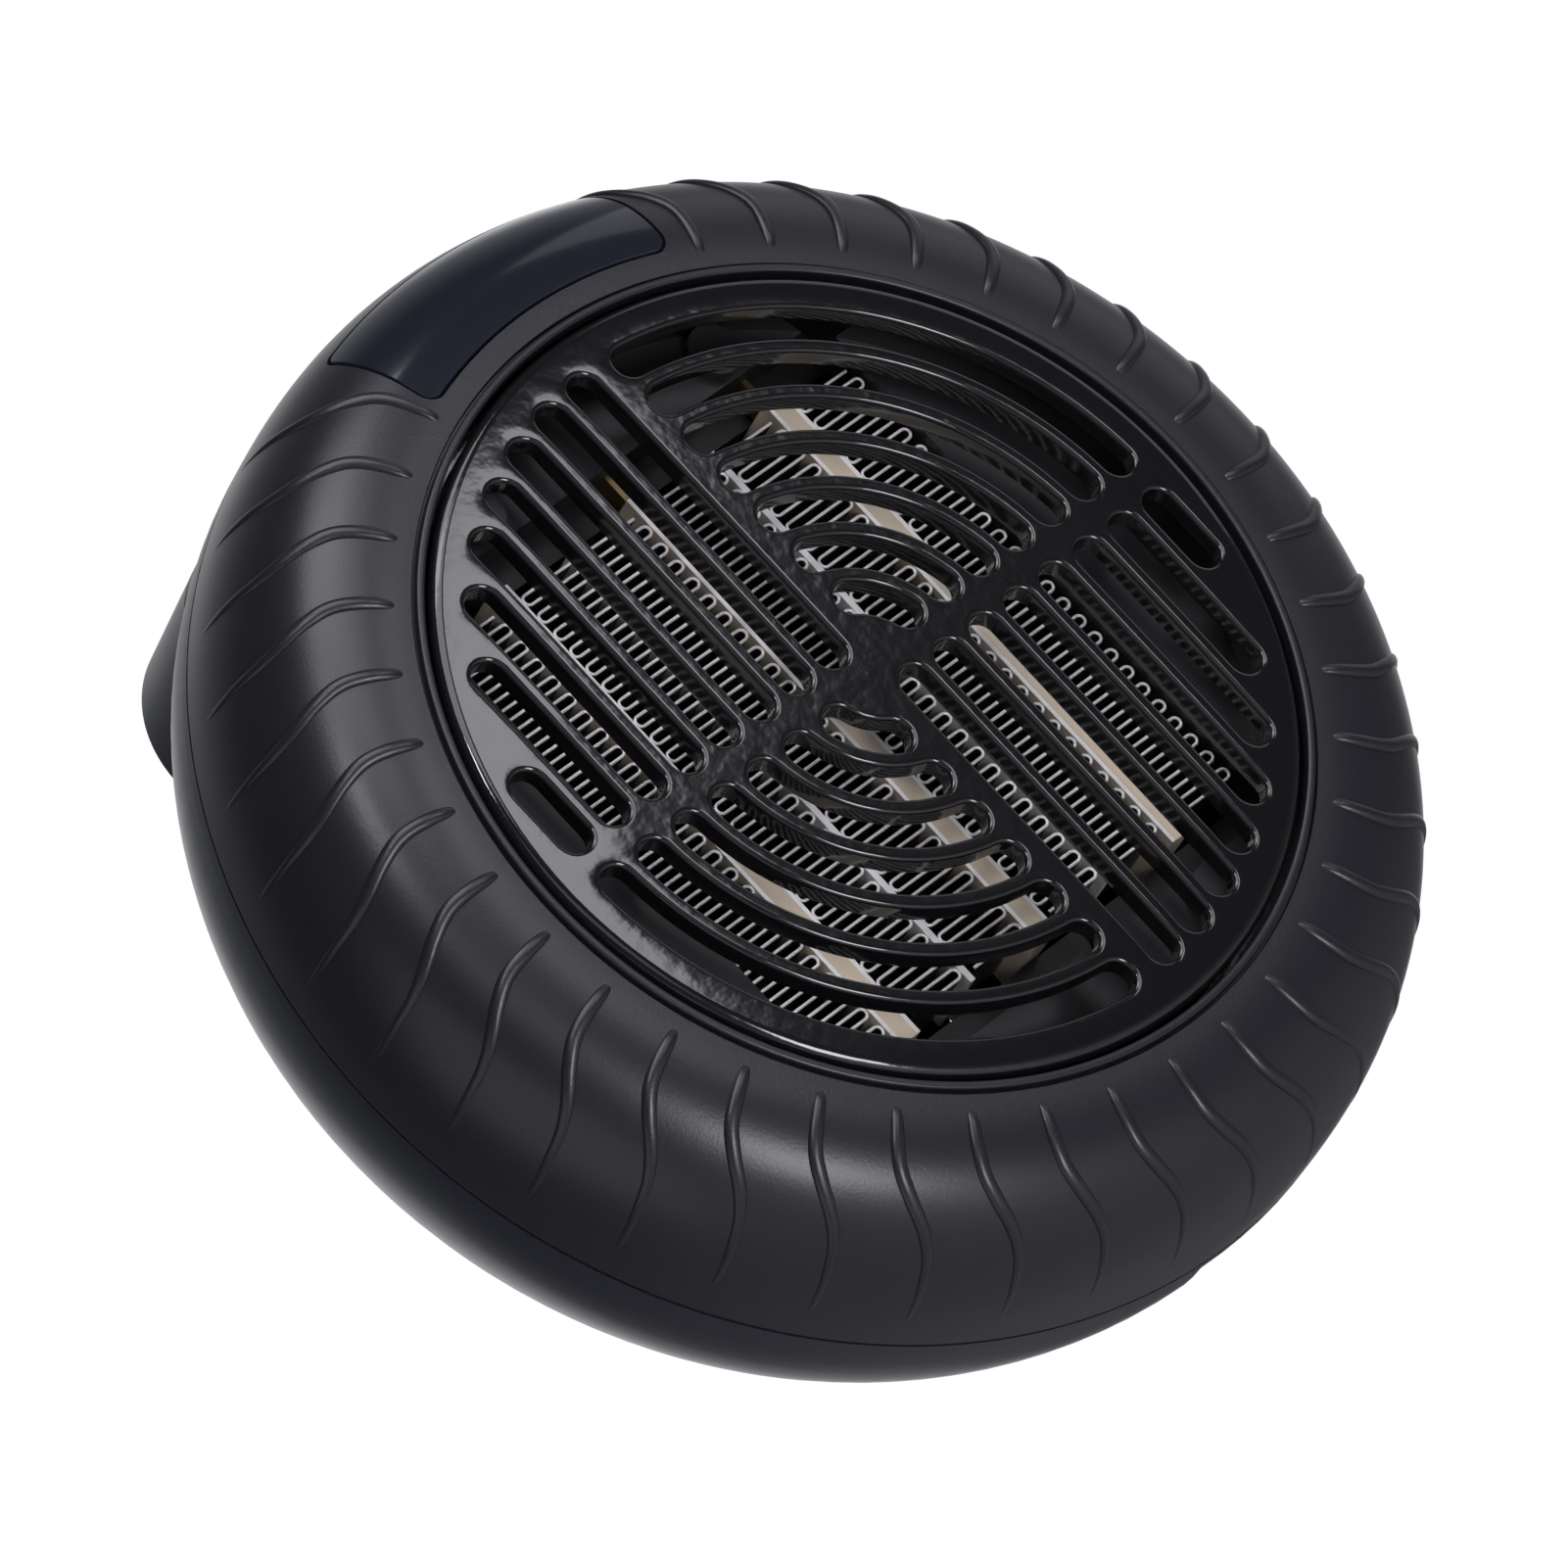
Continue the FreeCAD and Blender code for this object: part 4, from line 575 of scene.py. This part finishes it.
def rim_edges():
    """The bead and crease inside the rim, its edge at the seam and its inner face."""
    bead_depth = BEAD_FRONT + BEAD_ROUND
    inner = [
        (COLLAR_RADIUS, COLLAR_END),
        (COLLAR_RADIUS, bead_depth),
        *bend((COLLAR_RADIUS + BEAD_ROUND, bead_depth), BEAD_ROUND, 180, 90),
        *bend((BEAD_RADIUS - BEAD_ROUND, bead_depth), BEAD_ROUND, 90, 0),
        (BEAD_RADIUS, CREASE_DEPTH),
        (RIM_INNER_RADIUS - CREASE_INSET, CREASE_DEPTH),
        (RIM_INNER_RADIUS - LIP_INSET, RIM_FRONT + LIP_DROP),
        (RIM_INNER_RADIUS, RIM_FRONT),
    ]
    turned_piece("rim_bead", inner, FINISHES["shell_black"])
    end = SEAM_DEPTH - SEAM_GAP
    outer = [
        *bend((RIM_RADIUS - SEAM_ROUND, end - SEAM_ROUND), SEAM_ROUND, 0, -90),
        (RIM_RADIUS - SHELL_WALL, end),
        (RIM_RADIUS - SHELL_WALL, RIM_SHOULDER),
    ]
    # The last two points of the rim lie on its straight edge, which is there already
    for run, radius, depth in reversed(RIM[:-2:RIM_INSIDE_EVERY]):
        out_radius, out_depth = rim_outward(run)
        outer.append((radius - SHELL_WALL * out_radius, depth - SHELL_WALL * out_depth))
    outer += [(COLLAR_RADIUS + SHELL_WALL, COLLAR_END), (COLLAR_RADIUS, COLLAR_END)]
    turned_piece("rim_inside", outer, FINISHES["shell_black"])


def rib_section(start, share):
    """The points across a rib at a share of its length, for the angle at which the rib starts."""
    run = RIB_RUN[0] + (RIB_RUN[1] - RIB_RUN[0]) * share
    swell = blend_of(RIB_SWELL_SHARES, share)
    reach = RIB_HALF_WIDTH * (RIB_LEAST_SHARE + (1 - RIB_LEAST_SHARE) * swell)
    angle = start + curve_of(RIB_SWING, run)
    ahead = start + curve_of(RIB_SWING, run + SLOPE_STEP)
    behind = start + curve_of(RIB_SWING, run - SLOPE_STEP)
    here = rim_at(angle, run)
    outward = (rim_at(angle, run, 1) - here).normalized()
    along = rim_at(ahead, run + SLOPE_STEP) - rim_at(behind, run - SLOPE_STEP)
    aside = along.cross(outward).normalized()
    points = []
    for side in RIB_SECTION_SHARES:
        height = RIB_HEIGHT * swell * (1 - side ** 2) ** RIB_CREST_POWER - RIB_SINK
        points.append(here + (aside * side * reach + outward * height) * MM)
    return points


def rim_ribs():
    verts = []
    faces = []
    width = len(RIB_SECTION_SHARES)
    for number in range(RIB_COUNT):
        start = RIB_FIRST + number * RIB_STEP
        if RIB_GAP[0] < start < RIB_GAP[1]:
            continue
        first = len(verts)
        for station in range(RIB_STATIONS + 1):
            verts += rib_section(start, station / RIB_STATIONS)
        for station in range(RIB_STATIONS):
            for side in range(width - 1):
                low = first + station * width + side
                faces.append((low, low + 1, low + 1 + width, low + width))
    shape = mesh_piece("rim_ribs", verts, faces, FINISHES["shell_black"])


def display_panel():
    face_edge = panel_outline(-PANEL_EDGE)
    fill = patch_fill(face_edge, within=True)
    flat, triangles = flat_net([face_edge], fill, lambda centre: inside(centre, face_edge))
    shape = mesh_piece("display_window", over_rim(flat), triangles, FINISHES["panel_gloss"])
    edge = panel_outline(0)
    wall_verts = over_rim(face_edge) + over_rim(edge, -PANEL_EDGE) + over_rim(edge, -PANEL_WALL)
    count = len(face_edge)
    wall_faces = ring_faces(0, count, count) + ring_faces(count, 2 * count, count)
    mesh_piece("display_window_edge", wall_verts, wall_faces, FINISHES["panel_gloss"])
    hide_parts("display_panel")


front_rim()
rim_edges()
rim_ribs()
display_panel()


# Grille cut from one plate with rounded edges

def straight_spine(x, low, high):
    count = max(round((high - low) / SLOT_STEP), 1)
    return [Vector((x, low + (high - low) * n / count)) for n in range(count + 1)]


def arc_spine(radius):
    half = SLOT_WIDTH / 2
    low = math.asin((ARC_LEVEL_BAND + half) / radius)
    high = math.acos((ARC_UPRIGHT_BAND + half) / radius)
    count = max(round((high - low) * radius / SLOT_STEP), ARC_LEAST_STEPS)
    turns = [low + (high - low) * n / count for n in range(count + 1)]
    return [Vector((math.cos(turn), math.sin(turn))) * radius for turn in turns]


def slot_spines():
    """The middle lines of all slots.

    They are straight at the upper left and arcs at the upper right.
    The lower half repeats the upper one, turned half round.
    """
    half = SLOT_WIDTH / 2
    spines = []
    for number in range(SLOT_COUNT):
        offset = (number + 1 / 2) * SLOT_PITCH
        top = math.sqrt(SLOT_REACH ** 2 - offset ** 2)
        spines.append(straight_spine(-offset, SLOT_LEVEL_BAND + half, top - half))
        if number:
            spines.append(arc_spine(offset))
    return spines + [[-point for point in spine] for spine in spines]


def slot_outline(spine, reach):
    """The outline of a slot with round ends."""
    asides = []
    for number in range(len(spine)):
        along = spine[min(number + 1, len(spine) - 1)] - spine[max(number - 1, 0)]
        asides.append(Vector((-along.y, along.x)).normalized() * reach)
    caps = [Matrix.Rotation(-math.pi * step / SLOT_CAP_STEPS, 2) for step in range(1, SLOT_CAP_STEPS)]
    outline = [point + aside for point, aside in zip(spine, asides)]
    outline += [spine[-1] + cap @ asides[-1] for cap in caps]
    outline += [point - aside for point, aside in reversed(list(zip(spine, asides)))]
    outline += [spine[0] - cap @ asides[0] for cap in caps]
    return outline


def spine_distance(point, spine):
    best = (point - spine[0]).length
    for here, after in zip(spine, spine[1:]):
        along = after - here
        share = min(max((point - here).dot(along) / along.length_squared, 0), 1)
        best = min(best, (point - here - along * share).length)
    return best


def slot_room(point, spines):
    """How far a point is from the edge of the nearest slot."""
    return min(spine_distance(point, spine) for spine in spines) - SLOT_WIDTH / 2


def grille_edge(inset):
    turns = [2 * math.pi * n / RIM_COLUMNS for n in range(RIM_COLUMNS)]
    return [Vector((math.cos(turn), math.sin(turn))) * (GRILLE_RADIUS - inset) for turn in turns]


def crowned(point, depth, room):
    """A point of the plate, whose face falls away towards its edge and, near the edge, towards the slots."""
    reach = max(point.length - GRILLE_CROWN_START, 0) / (GRILLE_RADIUS - GRILLE_CROWN_START)
    near = max(1 - room / GRILLE_DISH_REACH, 0)
    return at(point.x, depth + GRILLE_CROWN * reach ** 2 + GRILLE_DISH * reach * near ** 2, point.y)


def edge_rounds(radius):
    """Insets and depths over a rounded edge of the plate, from its face to its back."""
    turns = [math.pi / 2 * n / GRILLE_ROUND_STEPS for n in range(GRILLE_ROUND_STEPS + 1)]
    arc = [(radius * (1 - math.sin(turn)), radius * (1 - math.cos(turn))) for turn in turns]
    return [(radius + GRILLE_LAND, 0), *arc, (0, GRILLE_THICKNESS)]


def plate_fill(spines, slot_inset, outer_inset):
    """Points over the plate's face, clear of slots and edge, and twice as far apart in the middle."""
    clear = GRILLE_FILL_STEP * GRILLE_CLEAR_SHARE
    span = round(GRILLE_RADIUS / GRILLE_FILL_STEP)
    fill = []
    for column in range(-span, span + 1):
        for row in range(-span, span + 1):
            point = Vector((column, row)) * GRILLE_FILL_STEP
            if point.length < GRILLE_FINE_START and (column % 2 or row % 2):
                continue
            off_slots = slot_room(point, spines) - slot_inset > clear
            if off_slots and point.length < GRILLE_RADIUS - outer_inset - clear:
                fill.append(point)
    return fill


def plate_net(spines, slot_inset, outer_inset, fill):
    """The net of the plate's face or back, inset from the slots and from its edge."""
    reach = SLOT_WIDTH / 2 + slot_inset
    outlines = [slot_outline(spine, reach) for spine in spines]

    def solid(point):
        return not any(spine_distance(point, spine) < reach and inside(point, outline)
                       for spine, outline in zip(spines, outlines))

    return flat_net([grille_edge(outer_inset)] + outlines, fill, solid)


def plate_edge(rounds, spine=None):
    """The rounded edge of the plate along a slot, or else along its outside."""
    verts = []
    faces = []
    for inset, depth in rounds:
        outline = slot_outline(spine, SLOT_WIDTH / 2 + inset) if spine else grille_edge(inset)
        room = inset if spine else GRILLE_DISH_REACH
        if depth < GRILLE_THICKNESS:
            verts += [crowned(point, depth, room) for point in outline]
        else:
            verts += [at(point.x, depth, point.y) for point in outline]
    count = len(outline)
    for ring in range(len(rounds) - 1):
        faces += ring_faces(ring * count, (ring + 1) * count, count)
    return verts, faces


def front_grille():
    spines = slot_spines()
    slot_rounds = edge_rounds(GRILLE_ROUND)
    outer_rounds = edge_rounds(GRILLE_EDGE_ROUND)
    slot_inset = slot_rounds[0][0]
    outer_inset = outer_rounds[0][0]
    fill = plate_fill(spines, slot_inset, outer_inset)
    flat, triangles = plate_net(spines, slot_inset, outer_inset, fill)
    verts = [crowned(point, 0, max(slot_room(point, spines), slot_inset)) for point in flat]
    faces = [tuple(reversed(triangle)) for triangle in triangles]
    back, back_triangles = plate_net(spines, 0, 0, [])
    faces += shifted(back_triangles, len(verts))
    verts += [at(point.x, GRILLE_THICKNESS, point.y) for point in back]
    edges = [plate_edge(outer_rounds)] + [plate_edge(slot_rounds, spine) for spine in spines]
    for edge_verts, edge_faces in edges:
        faces += shifted(edge_faces, len(verts))
        verts += edge_verts
    shape = mesh_piece("grille_plate", verts, faces, FINISHES["grille_gloss"])
    joined(shape)
    sharpened(shape, GRILLE_SHARP)
    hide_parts("front_grille")


def grille_skirt():
    """The skirt behind the plate, with a flange that lies behind the collar of the rim."""
    rear = COLLAR_END + FLANGE_THICKNESS
    skirt = [
        (GRILLE_RADIUS, GRILLE_THICKNESS),
        (GRILLE_RADIUS, COLLAR_END),
        (GRILLE_RADIUS + GRILLE_FLANGE, COLLAR_END),
        (GRILLE_RADIUS + GRILLE_FLANGE, rear),
        (GRILLE_RADIUS - GRILLE_SKIRT, rear),
        (GRILLE_RADIUS - GRILLE_SKIRT, GRILLE_THICKNESS),
    ]
    turned_piece("grille_skirt", skirt, FINISHES["grille_gloss"])


front_grille()
grille_skirt()


# Fins folded to and fro with round turns, bright at their front edges, with their walls and backs painted
# darker as painted shade inside the folds

def folded_path(half_row, half_height):
    turn_radius = FIN_PITCH / 4
    reach = half_row - FIN_THICKNESS / 2 - turn_radius
    step = FIN_PITCH / 2
    runs = int((2 * half_height - FIN_THICKNESS) / step)
    bottom = -runs * step / 2
    path = []
    for run in range(runs + 1):
        side = 1 if run % 2 else -1
        level = bottom + run * step
        path.append(Vector((side * reach, level)))
        path.append(Vector((-side * reach, level)))
        if run < runs:
            for number in range(1, FIN_TURN_STEPS):
                turn = math.pi * number / FIN_TURN_STEPS
                out = reach + turn_radius * math.sin(turn)
                path.append(Vector((-side * out, level + turn_radius * (1 - math.cos(turn)))))
    return path


def fin_row(node):
    low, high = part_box(node)
    middle = (low + high) / 2
    path = folded_path((high.x - low.x) / 2 / MM, (high.z - low.z) / 2 / MM)
    half = FIN_THICKNESS / 2
    deep = (high.y - low.y) / MM
    shoulder = half * (1 - FIN_ROUND_SHARE)
    section = [(-1, deep), (-1, half), (-FIN_ROUND_SHARE, shoulder), (0, 0),
               (FIN_ROUND_SHARE, shoulder), (1, half), (1, deep)]
    width = len(section)
    verts = []
    faces = []
    for number, point in enumerate(path):
        along = path[min(number + 1, len(path) - 1)] - path[max(number - 1, 0)]
        aside = Vector((-along.y, along.x)).normalized() * half
        for side, depth in section:
            flat = point + aside * side
            verts.append(Vector((middle.x + flat.x * MM, low.y + depth * MM, middle.z + flat.y * MM)))
    for number in range(len(path) - 1):
        faces += ring_faces(number * width, (number + 1) * width, width)
    shape = mesh_piece(f"{node}_sheet", verts, faces, FINISHES["fin_aluminium"])
    shape.data.materials.append(FIN_WALL_PAINTED_SHADE)
    # Of the faces round the section, the first and the last but one are its walls, and the last is its back;
    # these get the darker material, which is painted shade
    painted_shade_sides = (0, width - 2, width - 1)
    for face in shape.data.polygons:
        face.material_index = 1 if face.index % width in painted_shade_sides else 0
    sharpened(shape, FIN_SHARP)
    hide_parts(node)


for number in range(1, FIN_ROW_COUNT + 1):
    fin_row(f"fin_row_{number}")


# Bright edges of the heating bars

def bar_edges(node):
    low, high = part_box(node)
    verts = []
    faces = []
    for left in (low.x, high.x - BAR_EDGE * MM):
        faces += shifted(BOX_FACES, len(verts))
        for x in (left, left + BAR_EDGE * MM):
            for y in (low.y - BAR_EDGE_RISE * MM, low.y + BAR_EDGE_RISE * MM):
                verts += [Vector((x, y, z)) for z in (low.z, high.z)]
    shape = mesh_piece(f"{node}_edges", verts, faces, FINISHES["fin_aluminium"], smooth=False)


for number in range(1, BAR_COUNT + 1):
    bar_edges(f"heating_bar_{number}")


# Camera, floor, backdrop and lamps

def photo_camera():
    lens = bpy.data.cameras.new("photo_view")
    lens.lens = CAMERA_LENS
    lens.sensor_width = CAMERA_SENSOR
    lens.clip_start = CAMERA_NEAR
    lens.clip_end = CAMERA_FAR
    camera = bpy.data.objects.new("photo_view", lens)
    bpy.context.scene.collection.objects.link(camera)
    turned = Matrix((CAMERA_RIGHT, CAMERA_UP, CAMERA_BACK)).transposed().to_4x4()
    camera.matrix_world = Matrix.Translation(at(*CAMERA_PLACE)) @ turned
    bpy.context.scene.camera = camera


def pale_floor():
    """A floor that looks white from above and is clear from below, so that the underside can be seen."""
    near, far = -FLOOR_HALF, FLOOR_HALF
    corners = [(near, near), (far, near), (far, far), (near, far)]
    mesh = bpy.data.meshes.new("floor")
    mesh.from_pydata([(x, y, FLOOR_LEVEL) for x, y in corners], [], [(0, 1, 2, 3)])
    floor = bpy.data.objects.new("floor", mesh)
    material = finish_of("pale_floor", FLOOR_COLOUR, FLOOR_ROUGHNESS)
    tree = material.node_tree
    shader = tree.nodes["Principled BSDF"]
    seen = new_node(tree, "ShaderNodeLightPath").outputs["Is Camera Ray"]
    glow = new_node(tree, "ShaderNodeMath", {0: seen, 1: FLOOR_GLOW}, "MULTIPLY")
    set_sockets(tree, shader, {"Emission Color": WHITE, "Emission Strength": glow.outputs["Value"]})
    below = new_node(tree, "ShaderNodeNewGeometry").outputs["Backfacing"]
    clear = new_node(tree, "ShaderNodeBsdfTransparent").outputs["BSDF"]
    mix = new_node(tree, "ShaderNodeMixShader", {"Fac": below, 1: shader.outputs["BSDF"], 2: clear})
    set_sockets(tree, tree.nodes["Material Output"], {"Surface": mix.outputs["Shader"]})
    mesh.materials.append(material)
    bpy.context.scene.collection.objects.link(floor)


def studio_world():
    """A white sweep behind the object, fading into a dark room in front of it.

    It is plain white to the camera, and in the sheen of the object only close to straight behind it.
    """
    world = bpy.data.worlds.new("studio")
    bpy.context.scene.world = world
    world.use_nodes = True
    tree = world.node_tree
    tree.nodes.clear()
    way_out = new_node(tree, "ShaderNodeTexCoord").outputs["Generated"]
    along_view = new_node(tree, "ShaderNodeVectorMath", {0: way_out, 1: CAMERA_BACK}, "DOT_PRODUCT")
    fall = new_node(tree, "ShaderNodeMapRange", {
        "Value": along_view.outputs["Value"],
        "From Min": BACKDROP_EDGES[0],
        "From Max": BACKDROP_EDGES[1],
        "To Min": BACKDROP_LIGHT,
        "To Max": ROOM_LIGHT,
    })
    behind = new_node(tree, "ShaderNodeMapRange", {
        "Value": along_view.outputs["Value"],
        "From Min": SHEEN_EDGES[1],
        "From Max": SHEEN_EDGES[0],
    })
    rays = new_node(tree, "ShaderNodeLightPath").outputs
    gloss = new_node(
        tree, "ShaderNodeMath", {0: rays["Is Glossy Ray"], 1: rays["Is Transmission Ray"]}, "MAXIMUM")
    sheen = new_node(
        tree, "ShaderNodeMath", {0: gloss.outputs["Value"], 1: behind.outputs["Result"]}, "MULTIPLY")
    white = new_node(
        tree, "ShaderNodeMath", {0: rays["Is Camera Ray"], 1: sheen.outputs["Value"]}, "MAXIMUM")
    lit = new_node(tree, "ShaderNodeBackground", {"Color": ROOM_TINT, "Strength": fall.outputs["Result"]})
    seen = new_node(tree, "ShaderNodeBackground", {"Color": WHITE})
    mix = new_node(tree, "ShaderNodeMixShader", {
        "Fac": white.outputs["Value"],
        1: lit.outputs["Background"],
        2: seen.outputs["Background"],
    })
    new_node(tree, "ShaderNodeOutputWorld", {"Surface": mix.outputs["Shader"]})


def softbox(name, direction, distance, width, height, power):
    right, up, toward = direction
    data = bpy.data.lights.new(name, "AREA")
    data.shape = "RECTANGLE"
    data.size = width
    data.size_y = height
    data.energy = power
    data.color = LAMP_TINT
    lamp = bpy.data.objects.new(name, data)
    bpy.context.scene.collection.objects.link(lamp)
    way = (CAMERA_RIGHT * right + CAMERA_UP * up + CAMERA_BACK * toward).normalized()
    lamp.location = at(0, LAMP_AIM_DEPTH, 0) + way * distance
    lamp.rotation_mode = "QUATERNION"
    across = (CAMERA_RIGHT - way * CAMERA_RIGHT.dot(way)).normalized()
    lamp.rotation_quaternion = Matrix((across, way.cross(across), way)).transposed().to_quaternion()


photo_camera()
pale_floor()
studio_world()
for name, lamp in LAMPS.items():
    softbox(name, *lamp)

scene = bpy.context.scene
scene.view_settings.view_transform = "Standard"
scene.view_settings.look = "None"

bpy.context.view_layer.update()
